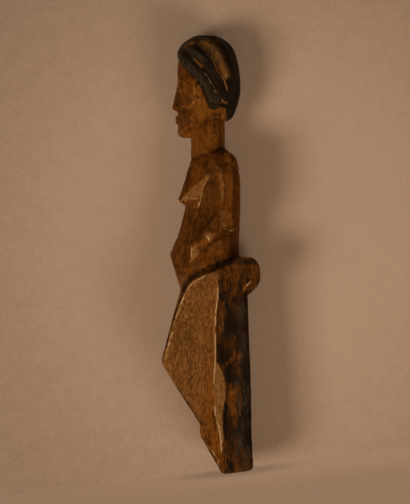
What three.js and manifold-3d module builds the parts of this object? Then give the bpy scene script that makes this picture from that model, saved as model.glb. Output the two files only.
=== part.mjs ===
// A carved wooden female figure, cut from one billet: a long cylindrical neck, a crested hairstyle
// of rolled locks, pointed breasts and belly, arms laid along the body with the hands on the belly,
// buttocks that stand out like a shelf, and long flat-sided legs with bent knees. The feet end in a
// stub that is sawn off at a slant, so that the figure leans back a little and balances on it.
//
// Units are millimetres. The shapes are worked out upright, as the carver held the billet: x to the
// figure's own left, y towards its back, z up from the foot. The whole is then tipped back onto its
// sawn foot, which lies on z = 0 with the origin at the middle of it.
import * as THREE from "three";
import { ConvexGeometry } from "three/addons/geometries/ConvexGeometry.js";
import { mergeVertices } from "three/addons/utils/BufferGeometryUtils.js";
import Module from "manifold-3d";

const wasm = await Module();
wasm.setup();

// Driving dimensions.
const LEAN_DEG = 6.8; // slant of the sawn foot against the upright figure
const FOOT = { front: 7.6, back: 24.9, height: 0.4, side: 14.6 };
const ANKLE = { y: -4.3, low: 22, high: 28, side: 16 };
const KNEE = { y: -25.2, z: 62.4, blunt: 1.6 };
const LAP = { y: -15.2, z: 101.2 };
const HIP = { top: 113, side: 19, bevel: { size: 4.6, thickness: 5 } };
const SIDE_TAPER = (HIP.side - FOOT.side) / HIP.top; // how much the outer sides draw in per mm down
const HIP_LINE = [[17.9, 119.6], [6.6, 115.8], [-3, 113], [-11.3, 108.3], [-14.4, 103.8]]; // [y, z]
const RIDGE_Y = 4.2; // where the flat outer side of a leg turns towards the back
const SLIVER = { top: 68, extra: 0.006 }; // a narrow cut along that ridge, down to the foot
const LEG_BACK = { top: 21.9, foot: 24.9, chamfer: 3.4 };
const GROOVE = { wide: 6.4, deep: 8.5, backWide: 5.2, backDeep: 3.2, backHigh: 104, backLow: 10 };
const BUTTOCK = { back: 28.9, low: 100, corner: 7 };
const BELLY = { y: -21.3, z: 120.5, side: 14.4 };
const WAIST = { y: -12.2, z: 146.2, side: 11.6 };
const BACK_Y = 17.6;
const SHOULDER = { top: 178.9, front: [15.8, 7.4, 174.4], back: [16, 12.8, 173.2] };
const CHEST_EDGE = [16, 0.4, 165.2]; // the outer corner where breast, shoulder and armpit meet
const BREAST = [7.6, -16.4, 150.4]; // the tip
const ARM = { front: 6.3, ridge: 9, back: 14.8, side: 20, elbow: 133, inner: 9 };
const NECK = { low: 168, high: 206, radius: 9.5, side: 8.9 };
const CHIN_Z = 184.8;
const CROWN_Z = 241.4;
const FACE_Y = -16.6;
const HEAD_BACK = 15.3;
const HEAD_SIDE = 13.4;
const HAIRLINE = { bend: [-4, 218.5], brow: [-0.66, -0.75], ear: [-0.89, -0.45] }; // and two normals
const HAIR = { thick: 1.5, low: 202, roll: 3.3, back: 18.1, nape: 193.8 };
const WOOD = { color: 0x5a3517, roughness: 0.55, metalness: 0 };

const bothSides = [-1, 1];

// A closed three.js geometry as a solid that can be joined and cut.
function solidOf(geometry) {
  const bare = geometry.index ? geometry.toNonIndexed() : geometry.clone();
  bare.deleteAttribute("normal");
  bare.deleteAttribute("uv");
  const merged = mergeVertices(bare, 1e-4);
  return new wasm.Manifold(
    new wasm.Mesh({
      numProp: 3,
      vertProperties: new Float32Array(merged.attributes.position.array),
      triVerts: new Uint32Array(merged.index.array),
    }),
  );
}

const join = (...solids) => solids.flat().reduce((whole, next) => whole.add(next));
const mirrorPoints = (points, side) => points.map(([x, y, z]) => [side * x, y, z]);

// A point and its mirror image on the other side of the figure.
const mirrorPair = (point) => bothSides.map((side) => mirrorPoints([point], side)[0]);

// The flat-faced block that a few corners span, as a knife leaves it.
const block = (points) => solidOf(new ConvexGeometry(points.map((p) => new THREE.Vector3(...p))));
const pairOf = (points) => bothSides.map((side) => block(mirrorPoints(points, side)));

// What a straight cut takes away: everything beyond a plane through a point, on its normal's side.
function shaving(point, normal) {
  const size = 400;
  const far = new THREE.BoxGeometry(size, size, size).translate(0, 0, size / 2);
  const turn = new THREE.Quaternion().setFromUnitVectors(
    new THREE.Vector3(0, 0, 1),
    new THREE.Vector3(...normal).normalize(),
  );
  return solidOf(far.applyQuaternion(turn).translate(...point));
}

// The same straight cut on the left and the right.
function pareBoth(solid, point, normal) {
  const cut = (side) => shaving(...mirrorPoints([point, normal], side));
  return bothSides.reduce((whole, side) => whole.subtract(cut(side)), solid);
}

// One horizontal section: a rounded outline with its own depth in front of and behind its widest
// place. A power of 2 is an ellipse, and more makes it squarer.
function sectionOf({ z, front, back, side, mid = (front + back) / 2, power = 2.3 }, corners) {
  return Array.from({ length: corners }, (_, i) => {
    const turn = (2 * Math.PI * i) / corners;
    const across = Math.sign(Math.cos(turn)) * Math.abs(Math.cos(turn)) ** (2 / power);
    const along = Math.sign(Math.sin(turn)) * Math.abs(Math.sin(turn)) ** (2 / power);
    return [side * across, mid + along * (along > 0 ? back - mid : mid - front), z];
  });
}

// A solid carried from ring to ring, closed flat at both ends. Each ring runs anticlockwise as seen
// from the last one, and all have as many corners.
function loft(rings) {
  const corners = rings[0].length;
  const centreOf = (ring) => [0, 1, 2].map((k) => ring.reduce((sum, p) => sum + p[k], 0) / corners);
  const positions = [...rings.flat(), centreOf(rings[0]), centreOf(rings.at(-1))].flat();
  const lastRing = (rings.length - 1) * corners;
  const [bottom, top] = [lastRing + corners, lastRing + corners + 1];
  const faces = [];
  for (let i = 0; i < corners; i++) {
    const next = (i + 1) % corners;
    for (let row = 0; row < lastRing; row += corners) {
      faces.push(row + i, row + next, row + corners + next);
      faces.push(row + i, row + corners + next, row + corners + i);
    }
    faces.push(bottom, next, i, top, lastRing + i, lastRing + next);
  }
  const geometry = new THREE.BufferGeometry();
  geometry.setAttribute("position", new THREE.Float32BufferAttribute(positions, 3));
  geometry.setIndex(faces);
  return solidOf(geometry);
}

// A solid carried up through a stack of horizontal sections.
const column = (stations, corners) => loft(stations.map((station) => sectionOf(station, corners)));

// The value a share t of the way from b to c, on a smooth curve through a, b, c and d.
const curved = (a, b, c, d, t) =>
  b + (t / 2) * (c - a + t * (2 * a - 5 * b + 4 * c - d + t * (3 * (b - c) + d - a)));

// The given sections with more of them between, on smooth curves.
function smoothed(stations, perSpan) {
  const at = (i) => stations[Math.min(Math.max(i, 0), stations.length - 1)];
  const between = stations.slice(1).flatMap((_, i) =>
    Array.from({ length: perSpan }, (_, step) => {
      const four = [at(i - 1), at(i), at(i + 1), at(i + 2)];
      const keys = ["z", "front", "back", "side"];
      return Object.fromEntries(keys.map((k) => [k, curved(...four.map((s) => s[k]), step / perSpan)]));
    }),
  );
  return [...between, stations.at(-1)];
}

// A board cut to a side view, given as [y, z] corners, that reaches equally far left and right and
// has its edges bevelled by so much across (size) and so much deep (thickness).
function sideBoard(outline, half, { size, thickness }) {
  const shape = new THREE.Shape(outline.map(([y, z]) => new THREE.Vector2(y, z)));
  const geometry = new THREE.ExtrudeGeometry(shape, {
    depth: 2 * (half - thickness),
    bevelThickness: thickness,
    bevelSize: size,
    bevelOffset: -size,
    bevelSegments: 1,
  });
  // Turns the shape's plane upright: its x becomes y, its y becomes z, and its depth becomes x.
  const upright = new THREE.Matrix4().makeBasis(
    new THREE.Vector3(0, 1, 0),
    new THREE.Vector3(0, 0, 1),
    new THREE.Vector3(1, 0, 0),
  );
  return solidOf(geometry.applyMatrix4(upright).translate(thickness - half, 0, 0));
}

// A rolled lock of hair: a round roll along a smooth path, fullest in the middle of its length.
function lock(path, radius) {
  const [steps, corners] = [12, 10];
  const curve = new THREE.CatmullRomCurve3(path.map((p) => new THREE.Vector3(...p)));
  const { normals, binormals } = curve.computeFrenetFrames(steps, false);
  const ringAt = (step) => {
    const full = radius * (0.75 + 0.25 * Math.sin((Math.PI * step) / steps));
    return Array.from({ length: corners }, (_, i) => {
      const turn = (2 * Math.PI * i) / corners;
      return curve
        .getPointAt(step / steps)
        .addScaledVector(normals[step], full * Math.cos(turn))
        .addScaledVector(binormals[step], full * Math.sin(turn))
        .toArray();
    });
  };
  return loft(Array.from({ length: steps + 1 }, (_, step) => ringAt(step)));
}

// The outer sides of legs and buttocks, planed so that they are widest along a ridge, fall away to
// the front a little and to the back more, and draw in towards the foot.
function planeSides(board) {
  const ridge = [HIP.side, RIDGE_Y, HIP.top];
  const cuts = [[1, -0.07, -SIDE_TAPER], [1, 0.21, -SIDE_TAPER]];
  return cuts.reduce((whole, normal) => pareBoth(whole, ridge, normal), board);
}

// Legs: one board cut to the side view, parted by grooves, with its bevel left standing as a ledge
// round the hips and down the thighs.
function legs() {
  const spare = 8; // length below the foot, for the saw to take off
  const stubSlope = (FOOT.front - ANKLE.y) / (ANKLE.low - FOOT.height);
  const outline = [
    [FOOT.front + spare * stubSlope, FOOT.height - spare],
    [LEG_BACK.foot, FOOT.height - spare],
    [LEG_BACK.foot, 4],
    [LEG_BACK.top, 98],
    [LEG_BACK.top, HIP.top],
    ...HIP_LINE.slice(1),
    [LAP.y - 0.4, LAP.z - 1],
    [-20.6, 81.4],
    [KNEE.y, KNEE.z + KNEE.blunt],
    [KNEE.y, KNEE.z - KNEE.blunt],
    [ANKLE.y, ANKLE.high],
    [ANKLE.y, ANKLE.low],
  ];
  const cuts = [
    {
      point: [HIP.side - SIDE_TAPER * (HIP.top - SLIVER.top), RIDGE_Y, SLIVER.top],
      normal: [1, 0.07, -SIDE_TAPER - SLIVER.extra],
    },
    {
      point: [FOOT.side - LEG_BACK.chamfer, LEG_BACK.foot - LEG_BACK.chamfer / 2, 0],
      normal: [1, 1.2, SIDE_TAPER],
    },
  ];
  const planed = planeSides(sideBoard(outline, HIP.side + 0.6, HIP.bevel));
  const pared = cuts.reduce((whole, { point, normal }) => pareBoth(whole, point, normal), planed);
  return [...frontGroove(), backGroove()].reduce((whole, cut) => whole.subtract(cut), pared);
}

// The groove that parts the legs in front: a thin wedge down the thighs and another down the shins.
function frontGroove() {
  const { wide, deep } = GROOVE;
  const proud = 6;
  const mouth = (y, z) => mirrorPair([wide / 2, y - proud, z]);
  const [lap, ankle] = [LAP.z + 2, ANKLE.high - 2];
  const knee = [...mouth(KNEE.y, KNEE.z), [0, KNEE.y + deep, KNEE.z]];
  return [
    block([...knee, ...mouth(LAP.y, lap), [0, LAP.y + deep / 2, lap]]),
    block([...knee, ...mouth(ANKLE.y, ankle), [0, ANKLE.y + deep / 2, ankle]]),
  ];
}

// The shallow groove between the calves.
function backGroove() {
  const { backWide, backDeep, backHigh, backLow } = GROOVE;
  return block([
    ...mirrorPair([backWide / 2, LEG_BACK.foot + 1, backLow]),
    [0, LEG_BACK.foot - backDeep, backLow],
    ...mirrorPair([backWide / 2, LEG_BACK.top + 1, backHigh]),
    [0, LEG_BACK.top - backDeep, backHigh],
  ]);
}

// Buttocks: a shelf with a flat top and a rounded end, level with the hips at the sides and parted
// by a shallow cleft.
function buttocks() {
  const { back, low, corner } = BUTTOCK;
  const outline = [
    [RIDGE_Y - 6, low],
    [LEG_BACK.top - 1, low - 2],
    [24.6, low + 1],
    [27.3, low + 3.4],
    [28.6, low + 5.8],
    [back, low + 8.6],
    [28.6, low + 12.4],
    [28, low + 15],
    [26.6, low + 17.4],
    [24.2, low + 19],
    ...HIP_LINE.slice(0, 2),
    [RIDGE_Y - 6, 114],
  ];
  const board = planeSides(sideBoard(outline, HIP.side + 0.6, HIP.bevel));
  const corners = [
    { point: [HIP.side - corner, back, low], normal: [0.75, 1, 0] },
    { point: [HIP.side - corner / 2, back - corner / 2, low], normal: [1, 0.5, 0] },
  ];
  const shelf = corners.reduce((whole, { point, normal }) => pareBoth(whole, point, normal), board);
  const [under, over] = [low - 4, low + 24];
  const cleft = block([
    ...mirrorPair([1.8, back + 1, under]),
    ...mirrorPair([1.8, back + 1, over]),
    [0, back - 3.6, under],
    [0, back - 2.4, over],
  ]);
  return shelf.subtract(cleft);
}

// Trunk: from the hips up over the pointed belly and the narrow waist into the chest, where the
// breasts and the shoulders are added to it.
function trunk() {
  const body = column(
    [
      { z: 97, front: LAP.y + 1.4, back: BACK_Y - 0.6, side: 14.6, mid: 2 },
      { z: LAP.z, front: LAP.y, back: BACK_Y - 0.4, side: 15.2, mid: 2 },
      { z: BELLY.z - 6, front: BELLY.y + 1.9, back: BACK_Y - 0.1, side: 15.2, mid: 2, power: 2.1 },
      { z: BELLY.z, front: BELLY.y, back: BACK_Y - 0.1, side: BELLY.side, mid: 2, power: 1.95 },
      { z: 129.8, front: -17.3, back: BACK_Y - 0.2, side: 13.2, mid: 2, power: 2.15 },
      { z: WAIST.z, front: WAIST.y, back: BACK_Y, side: WAIST.side, mid: 2, power: 2.6 },
      { z: 160, front: -11.4, back: BACK_Y + 0.4, side: 12.6, mid: 2, power: 2.8 },
      { z: 166, front: -11, back: BACK_Y - 0.4, side: 12.6, mid: 2, power: 2.8 },
      { z: 171.6, front: -10, back: 15.6, side: 11, mid: 2, power: 2.6 },
    ],
    44,
  );
  const yoke = block([
    [3, -9.6, 173.4],
    [6.2, -9, 173.6],
    [3, -12.4, 156],
    [6, -12.4, 154],
    [9.2, 0.2, 177.6],
    [8, 9.6, SHOULDER.top],
    SHOULDER.front,
    SHOULDER.back,
    CHEST_EDGE,
    [13.6, 16.2, 168.6],
    [8, 17.4, 166],
    [11, 3, 160],
    [11, 14, 160],
  ].flatMap(mirrorPair));
  return join(body, yoke, breasts(), arms());
}

// Each breast is a low pyramid that starts at the neck: a broad top face, a triangular outer face
// and a narrow face below.
function breasts() {
  return pairOf([
    BREAST,
    [BREAST[0] - 1.4, BREAST[1] + 0.2, BREAST[2] + 0.6],
    [6.2, -9.2, 173.4],
    [9.2, 0, 177.4],
    CHEST_EDGE,
    [13.4, -4.4, 149.3],
    [3.4, -10.4, 168.6],
    [2, -11.8, 152.6],
    [7.2, -11.2, 146.4],
    [10.8, -5, 145.6],
    [4, -3, 160],
  ]);
}

// Arms: an upper arm along the back half of the body, a forearm slanting down to the front over the
// waist, and a hand laid flat on the side of the belly. Each runs inwards to the body it lies on.
function arms() {
  const { front, ridge, back, side, elbow, inner } = ARM;
  const upperArm = [
    [9.6, 4, 176.8],
    [9, 10, SHOULDER.top - 0.4],
    SHOULDER.front,
    SHOULDER.back,
    [CHEST_EDGE[0] + 0.6, CHEST_EDGE[1] + 2, CHEST_EDGE[2] + 2.6],
    [side - 1.4, front, 167],
    [side, ridge, 164.6],
    [side - 0.5, back - 0.8, 164.6],
    [side - 4.4, BACK_Y - 0.3, 165],
    [side - 0.3, ridge, elbow + 0.8],
    [side - 1.4, back, elbow],
    [side - 5.4, BACK_Y - 0.4, elbow + 0.4],
    [side - 2.2, front, elbow + 2],
    [inner, front, 165],
    [inner, front, elbow + 2],
    [inner, back, elbow],
  ];
  const forearm = [
    [side - 1.4, front, elbow + 11.4],
    [side - 2, 1.8, elbow + 5.6],
    [side - 3.2, -3, elbow + 0.4],
    [side - 0.3, ridge, elbow + 5],
    [side - 1, 2, elbow - 0.6],
    [side - 2.4, -3.2, elbow - 5.8],
    [side - 1.8, front + 0.4, elbow - 1.4],
    [side - 2.8, 2.6, elbow - 5.8],
    [side - 4.2, -1, elbow - 10.2],
    [inner, front, elbow + 11.4],
    [inner, ridge, elbow],
    [inner, -2, elbow - 9],
  ];
  const hand = [
    [side - 3, -3, elbow - 0.4],
    [side - 5, -9.6, elbow - 6],
    [side - 8.2, -10.9, elbow - 7.4],
    [side - 2.6, -3.4, elbow - 6],
    [side - 3.8, -6.4, elbow - 9],
    [side - 4.2, -1, elbow - 10.4],
    [side - 4.6, -5.6, elbow - 14],
    [side - 6.4, -9.2, elbow - 16],
    [inner, -8, elbow - 8],
    [inner, -3, elbow - 12],
  ];
  return [upperArm, forearm, hand].flatMap(pairOf);
}

// Neck: a plain upright cylinder, a little deeper than it is wide.
function neck() {
  const { low, high, radius, side } = NECK;
  const ring = { front: -radius, back: radius, side, power: 2 };
  return column([{ ...ring, z: low }, { ...ring, z: high }], 32);
}

// The bare head from chin to crown, which the hair then covers from the brow back.
const SKULL = smoothed(
  [
    { z: CHIN_Z, front: -14, back: -6, side: 4.6 },
    { z: CHIN_Z + 2.6, front: -16.2, back: -1, side: 7.6 },
    { z: 193, front: -16.6, back: 5.6, side: 10.8 },
    { z: 200, front: FACE_Y - 0.2, back: 11, side: 12.4 },
    { z: 210, front: FACE_Y + 0.4, back: HEAD_BACK - 0.7, side: HEAD_SIDE },
    { z: 220, front: FACE_Y - 0.2, back: HEAD_BACK, side: HEAD_SIDE + 0.2 },
    { z: 229, front: FACE_Y + 0.6, back: 13.2, side: 12.3 },
    { z: 235, front: -13.2, back: 9.6, side: 9.6 },
    { z: 238.8, front: -7.6, back: 5, side: 5.2 },
  ],
  3,
);
const SKULL_POWER = 2.2;

// The head as a solid, or that much thicker all round.
function skull(thicker = 0) {
  const [low, high] = [CHIN_Z, CROWN_Z];
  const stations = SKULL.map(({ z, front, back, side }) => ({
    z: z + thicker * ((2 * (z - low)) / (high - low) - 1),
    front: front - thicker,
    back: back + thicker,
    side: side + thicker,
    power: SKULL_POWER,
  }));
  return column(stations, 44);
}

// The point on the left side of the head that shows at [y, z] in the side view.
function onHead([y, z]) {
  const above = Math.max(1, SKULL.findIndex((station) => station.z > z));
  const [under, over] = [SKULL[above - 1], SKULL[above]];
  const share = (z - under.z) / (over.z - under.z);
  const [front, back, side] = ["front", "back", "side"].map((k) =>
    THREE.MathUtils.lerp(under[k], over[k], share),
  );
  const along = Math.min(1, Math.abs((2 * y - front - back) / (back - front)));
  return [side * (1 - along ** SKULL_POWER) ** (1 / SKULL_POWER), y, z];
}

// The face: a calm, plain one on thirds between hairline and chin.
function face() {
  const hairline = 230.4;
  const third = (hairline - CHIN_Z) / 3;
  const [brow, noseBase] = [hairline - third, hairline - 2 * third];
  const mouth = noseBase - third / 3;
  const nose = block([
    ...mirrorPair([1.1, FACE_Y - 0.2, brow]),
    ...mirrorPair([1, FACE_Y - 3.2, noseBase + 2.2]),
    ...mirrorPair([2.7, FACE_Y - 0.6, noseBase]),
    ...mirrorPair([1.6, FACE_Y - 2.6, noseBase + 0.2]),
    ...mirrorPair([2, FACE_Y + 3, brow]),
    ...mirrorPair([3, FACE_Y + 3, noseBase]),
  ]);
  const bead = (x, y, z, [wide, deep, high]) =>
    solidOf(new THREE.SphereGeometry(1, 16, 10).scale(wide, deep, high).translate(x, y, z));
  const eyes = bothSides.map((side) => bead(side * 5.6, FACE_Y + 2, brow - 3.6, [3.3, 1.4, 1.3]));
  const lips = [0.75, -0.75].map((up) => bead(0, FACE_Y + 0.6, mouth + up, [3.6, 1.5, 0.95]));
  const ear = [
    [HEAD_SIDE - 1, -7.4, brow - 0.6],
    [HEAD_SIDE - 1, -3.8, brow - 1.6],
    [HEAD_SIDE + 1.5, -6.6, brow - 1.4],
    [HEAD_SIDE + 1.7, -4.8, brow - 2.4],
    [HEAD_SIDE + 0.9, -5.8, noseBase + 3.2],
    [HEAD_SIDE - 1, -7, noseBase + 2.4],
    [HEAD_SIDE - 1, -4.4, noseBase + 2.4],
  ];
  return join(nose, eyes, lips, pairOf(ear));
}

// Hair: a cap that starts at a slanting hairline, three rolled locks on each side that meet over the
// brow and sweep down behind the ear, and a thick crest from the crown to the nape.
function hair() {
  const { bend, brow, ear } = HAIRLINE;
  const belowHairline = shaving([0, ...bend], [0, ...brow]).intersect(shaving([0, ...bend], [0, ...ear]));
  const cap = skull(HAIR.thick)
    .subtract(belowHairline)
    .subtract(shaving([0, 0, HAIR.low], [0, 0, -1]));
  const rolls = [
    [[-16, 229.6], [-14.6, 228.4], [-9.9, 224.9], [-4, 218.5], [0.2, 211.2], [3.2, 203.4]],
    [[-14.2, 233.6], [-11.6, 233.2], [-6.2, 230.5], [-0.7, 225], [3.9, 217.7], [8.2, 204]],
    [[-9, 237.4], [-4, 236.6], [1.6, 233.4], [6, 227.6], [8.8, 219.6], [10.2, 204.8]],
  ];
  const locks = rolls.flatMap(([middle, ...side]) => {
    const path = [[-1, ...middle], ...side.map(onHead)];
    return bothSides.map((hand) => lock(mirrorPoints(path, hand), HAIR.roll));
  });
  const crest = column(
    [
      { z: HAIR.nape, front: 6, back: 10.4, side: 4 },
      { z: 196, front: 4, back: 13.6, side: 5.6 },
      { z: 202, front: 2, back: 16.3, side: 7 },
      { z: 211, front: 0, back: HAIR.back, side: 7.8 },
      { z: 222, front: 0, back: HAIR.back - 0.8, side: 7.8 },
      { z: 231, front: -6, back: 15.2, side: 7 },
      { z: 236.6, front: -9, back: 12, side: 6 },
      { z: 239.8, front: -9.6, back: 7.6, side: 4.2 },
      { z: CROWN_Z, front: -8, back: 3, side: 2.2 },
    ],
    28,
  );
  return join(cap, locks, crest);
}

// The slanting saw cut under the feet.
function sawnFoot(figure) {
  const slope = Math.tan(THREE.MathUtils.degToRad(LEAN_DEG));
  return figure.subtract(shaving([0, FOOT.front, FOOT.height], [0, slope, -1]));
}

function meshOf(name, solid, material) {
  const { vertProperties, triVerts } = solid.getMesh();
  const geometry = new THREE.BufferGeometry();
  geometry.setAttribute("position", new THREE.BufferAttribute(vertProperties, 3));
  geometry.setIndex(new THREE.BufferAttribute(triVerts, 1));
  geometry.computeVertexNormals();
  const mesh = new THREE.Mesh(geometry, material);
  mesh.name = name;
  return mesh;
}

const wood = new THREE.MeshStandardMaterial(WOOD);
const carving = sawnFoot(join(legs(), buttocks(), trunk(), neck(), skull(), face(), hair()));
const upright = new THREE.Group();
upright.add(meshOf("carved_figure", carving, wood));
upright.position.set(0, -(FOOT.front + FOOT.back) / 2, 0);

// Tips the figure back onto its foot and drops the middle of the foot to the origin.
const standing = new THREE.Group();
const lean = THREE.MathUtils.degToRad(LEAN_DEG);
const footMiddle = FOOT.height + ((FOOT.back - FOOT.front) / 2) * Math.tan(lean);
standing.rotation.x = -lean;
standing.position.set(0, 0, -footMiddle).applyEuler(standing.rotation);
standing.add(upright);

const part = new THREE.Group();
part.add(standing);
export default part;
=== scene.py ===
"""Carved wooden figure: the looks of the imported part, laid out as a Blender add-on.

Shapes are worked out in the carver's frame: millimetres, with the figure upright, x to its own
left, y towards its back and z up from the foot. `stood` then tips them back onto the sawn foot,
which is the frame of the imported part, in metres.
"""
import math

import bmesh
import bpy
import numpy as np
from bpy.props import FloatProperty, FloatVectorProperty, PointerProperty
from mathutils import Matrix, Vector


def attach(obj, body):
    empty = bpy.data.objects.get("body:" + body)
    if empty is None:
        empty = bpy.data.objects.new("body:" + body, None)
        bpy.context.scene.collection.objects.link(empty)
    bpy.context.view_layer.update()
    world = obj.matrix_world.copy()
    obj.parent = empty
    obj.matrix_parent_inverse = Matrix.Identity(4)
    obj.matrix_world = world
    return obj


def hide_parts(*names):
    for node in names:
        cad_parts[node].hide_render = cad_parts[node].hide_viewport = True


bl_info = {
    "name": "Carved wooden figure",
    "version": (1, 0, 0),
    "blender": (4, 5, 0),
    "location": "View3D > Sidebar > Figure",
    "description": "Carves, stains and stages a small standing wooden figure",
    "category": "Object",
}

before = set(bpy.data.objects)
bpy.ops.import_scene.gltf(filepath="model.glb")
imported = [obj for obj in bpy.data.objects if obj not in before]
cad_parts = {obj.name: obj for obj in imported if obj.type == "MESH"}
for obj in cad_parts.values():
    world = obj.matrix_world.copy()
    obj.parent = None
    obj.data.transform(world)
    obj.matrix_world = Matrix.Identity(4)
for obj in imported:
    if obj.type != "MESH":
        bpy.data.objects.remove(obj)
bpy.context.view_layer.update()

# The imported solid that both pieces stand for, and the most triangles that a piece keeps.
NODE = "carved_figure"
MOST_TRIANGLES = 190000

# The carver's frame against the part's frame: how far the figure leans back on its sawn foot.
LEAN = math.radians(6.8)
FOOT_FRONT, FOOT_BACK, FOOT_HEIGHT = 7.6, 24.9, 0.4
FOOT_RISE = (FOOT_BACK - FOOT_FRONT) / 2 * math.tan(LEAN)
FOOT_MIDDLE = np.array([0, (FOOT_FRONT + FOOT_BACK) / 2, FOOT_HEIGHT + FOOT_RISE])
UPRIGHT_TO_PART = np.array(
    [[1, 0, 0], [0, math.cos(LEAN), math.sin(LEAN)], [0, -math.sin(LEAN), math.cos(LEAN)]]
)

# Heights and depths of the figure's forms, in the carver's frame.
NECK_CUT_Z = 183.0
NECK = {"low": 172.0, "high": 205.0, "deep": 9.5, "side": 8.9}
RIDGE_Y = 4.2
FACE_Y = -16.6
CHIN_Z, CROWN_Z, HAIRLINE_Z = 184.8, 241.4, 230.4
THIRD = (HAIRLINE_Z - CHIN_Z) / 3
BROW_Z, NOSE_Z = HAIRLINE_Z - THIRD, HAIRLINE_Z - 2 * THIRD
MOUTH_Z = NOSE_Z - THIRD / 3
HEAD_POWER = 2.2
# Height, front, back and half width of the head's sections, chin to crown.
HEAD_SECTIONS = np.array(
    [
        [CHIN_Z, -14, -6, 4.6],
        [CHIN_Z + 2.6, -16.2, -4, 7.6],
        [193, -16.6, -1, 10.8],
        [197.4, -16.8, 5.5, 12],
        [200.6, FACE_Y - 0.2, 11, 12.4],
        [210, FACE_Y + 0.4, 14.6, 13.4],
        [220, FACE_Y - 0.2, 15.3, 13.6],
        [229, FACE_Y + 0.6, 13.2, 12.3],
        [235, -13.2, 9.6, 9.6],
        [238.8, -7.6, 5, 5.2],
    ]
)
# The hairline slants up to the brow and down to the ear from one bend, along two slopes.
HAIRLINE_BEND = (-4, 218.5)
HAIRLINE_SLOPES = ((0.66, 0.75), (0.89, 0.45))
HAIR_LOW_Z = 202.0
HAIR_THICK = 1.5
LOCK_RADIUS = 3.6
LOCK_SUNK = 1.1
HAIR_BACK_Y = 18.1
# The three rolled locks and the rim of the ear, as [y, z] points in the side view.
ROLLS = (
    ((-14.2, 230.2), (-13.4, 229), (-9.9, 224.9), (-4, 218.5), (0.2, 211.2), (3.0, 203.6)),
    ((-13, 233.4), (-11, 233), (-6.2, 230.5), (-0.7, 225), (3.9, 217.7), (7.4, 205)),
    ((-9, 237.4), (-4, 236.6), (1.6, 233.4), (6, 227.6), (8.8, 219.6), (10.2, 204.8)),
)
EAR = (
    (-3.4, 216.6), (-5.8, 217), (-7.6, 214.6), (-7.8, 210.4), (-7, 207), (-5.2, 205.2), (-3.4, 206.4),
)
# The crest's sections, as for the head.
CREST_SECTIONS = np.array(
    [
        [193.8, 6, 10.4, 4],
        [196, 4, 13.6, 5.6],
        [202, 2, 16.3, 7],
        [211, 0, HAIR_BACK_Y, 7.8],
        [222, 0, HAIR_BACK_Y - 0.8, 7.8],
        [231, -6, 15.2, 7],
        [236.6, -9, 12, 6],
        [239.8, -9.4, 7.6, 4.2],
        [240.9, -7, 4.8, 3.2],
        [CROWN_Z, -3.6, 2, 1.6],
    ]
)


# Shapes


def stood(points):
    """Carver's millimetres to the part's metres: the middle of the foot goes to the origin, and
    the figure turns back about it by the lean."""
    return (points - FOOT_MIDDLE) @ UPRIGHT_TO_PART.T / 1000


def upright(points):
    """The part's metres back to the carver's millimetres, the reverse of `stood`."""
    return points * 1000 @ UPRIGHT_TO_PART + FOOT_MIDDLE


def smooth_curve(rows, per_span):
    """Extra rows between the given ones, on Catmull-Rom curves: between b and c the value is
    b + t/2 (c - a + t (2a - 5b + 4c - d + t (3(b - c) + d - a)))."""
    rows = np.asarray(rows, float)
    a = np.vstack([rows[:1], rows[:-2]])[:, None]
    b, c = rows[:-1, None], rows[1:, None]
    d = np.vstack([rows[2:], rows[-1:]])[:, None]
    t = (np.arange(per_span) / per_span)[None, :, None]
    between = b + t / 2 * (c - a + t * (2 * a - 5 * b + 4 * c - d + t * (3 * (b - c) + d - a)))
    return np.vstack([between.reshape(-1, rows.shape[1]), rows[-1:]])


def closed_tube(rings):
    """A closed surface from an array of rings (rows, corners, 3): quads between neighbouring rings,
    and a fan to the middle of the first and of the last ring."""
    count, corners, _ = rings.shape
    points = np.vstack([rings.reshape(-1, 3), rings[0].mean(0), rings[-1].mean(0)])
    i = np.arange(corners)
    j = np.roll(i, -1)
    row = (np.arange(count - 1) * corners)[:, None]
    walls = np.stack([row + i, row + j, row + corners + j, row + corners + i], axis=-1).reshape(-1, 4)
    last = (count - 1) * corners
    low = np.stack([np.full(corners, last + corners), j, i], axis=-1)
    high = np.stack([np.full(corners, last + corners + 1), last + i, last + j], axis=-1)
    return points, walls.tolist() + low.tolist() + high.tolist()


def column(sections, power, corners=96):
    """Horizontal superellipses: at turn u, x = side |cos u|^(2/power) and y = middle + half depth
    |sin u|^(2/power), each with the sign of its cosine or sine. Sections are z, front, back, side."""
    u = np.linspace(0, 2 * np.pi, corners, endpoint=False)
    across = np.sign(np.cos(u)) * np.abs(np.cos(u)) ** (2 / power)
    along = np.sign(np.sin(u)) * np.abs(np.sin(u)) ** (2 / power)
    z, front, back, side = (sections[:, k, None] for k in range(4))
    x = side * across
    y = (front + back) / 2 + (back - front) / 2 * along
    return closed_tube(np.stack([x, y, np.broadcast_to(z, x.shape)], axis=-1))


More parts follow.
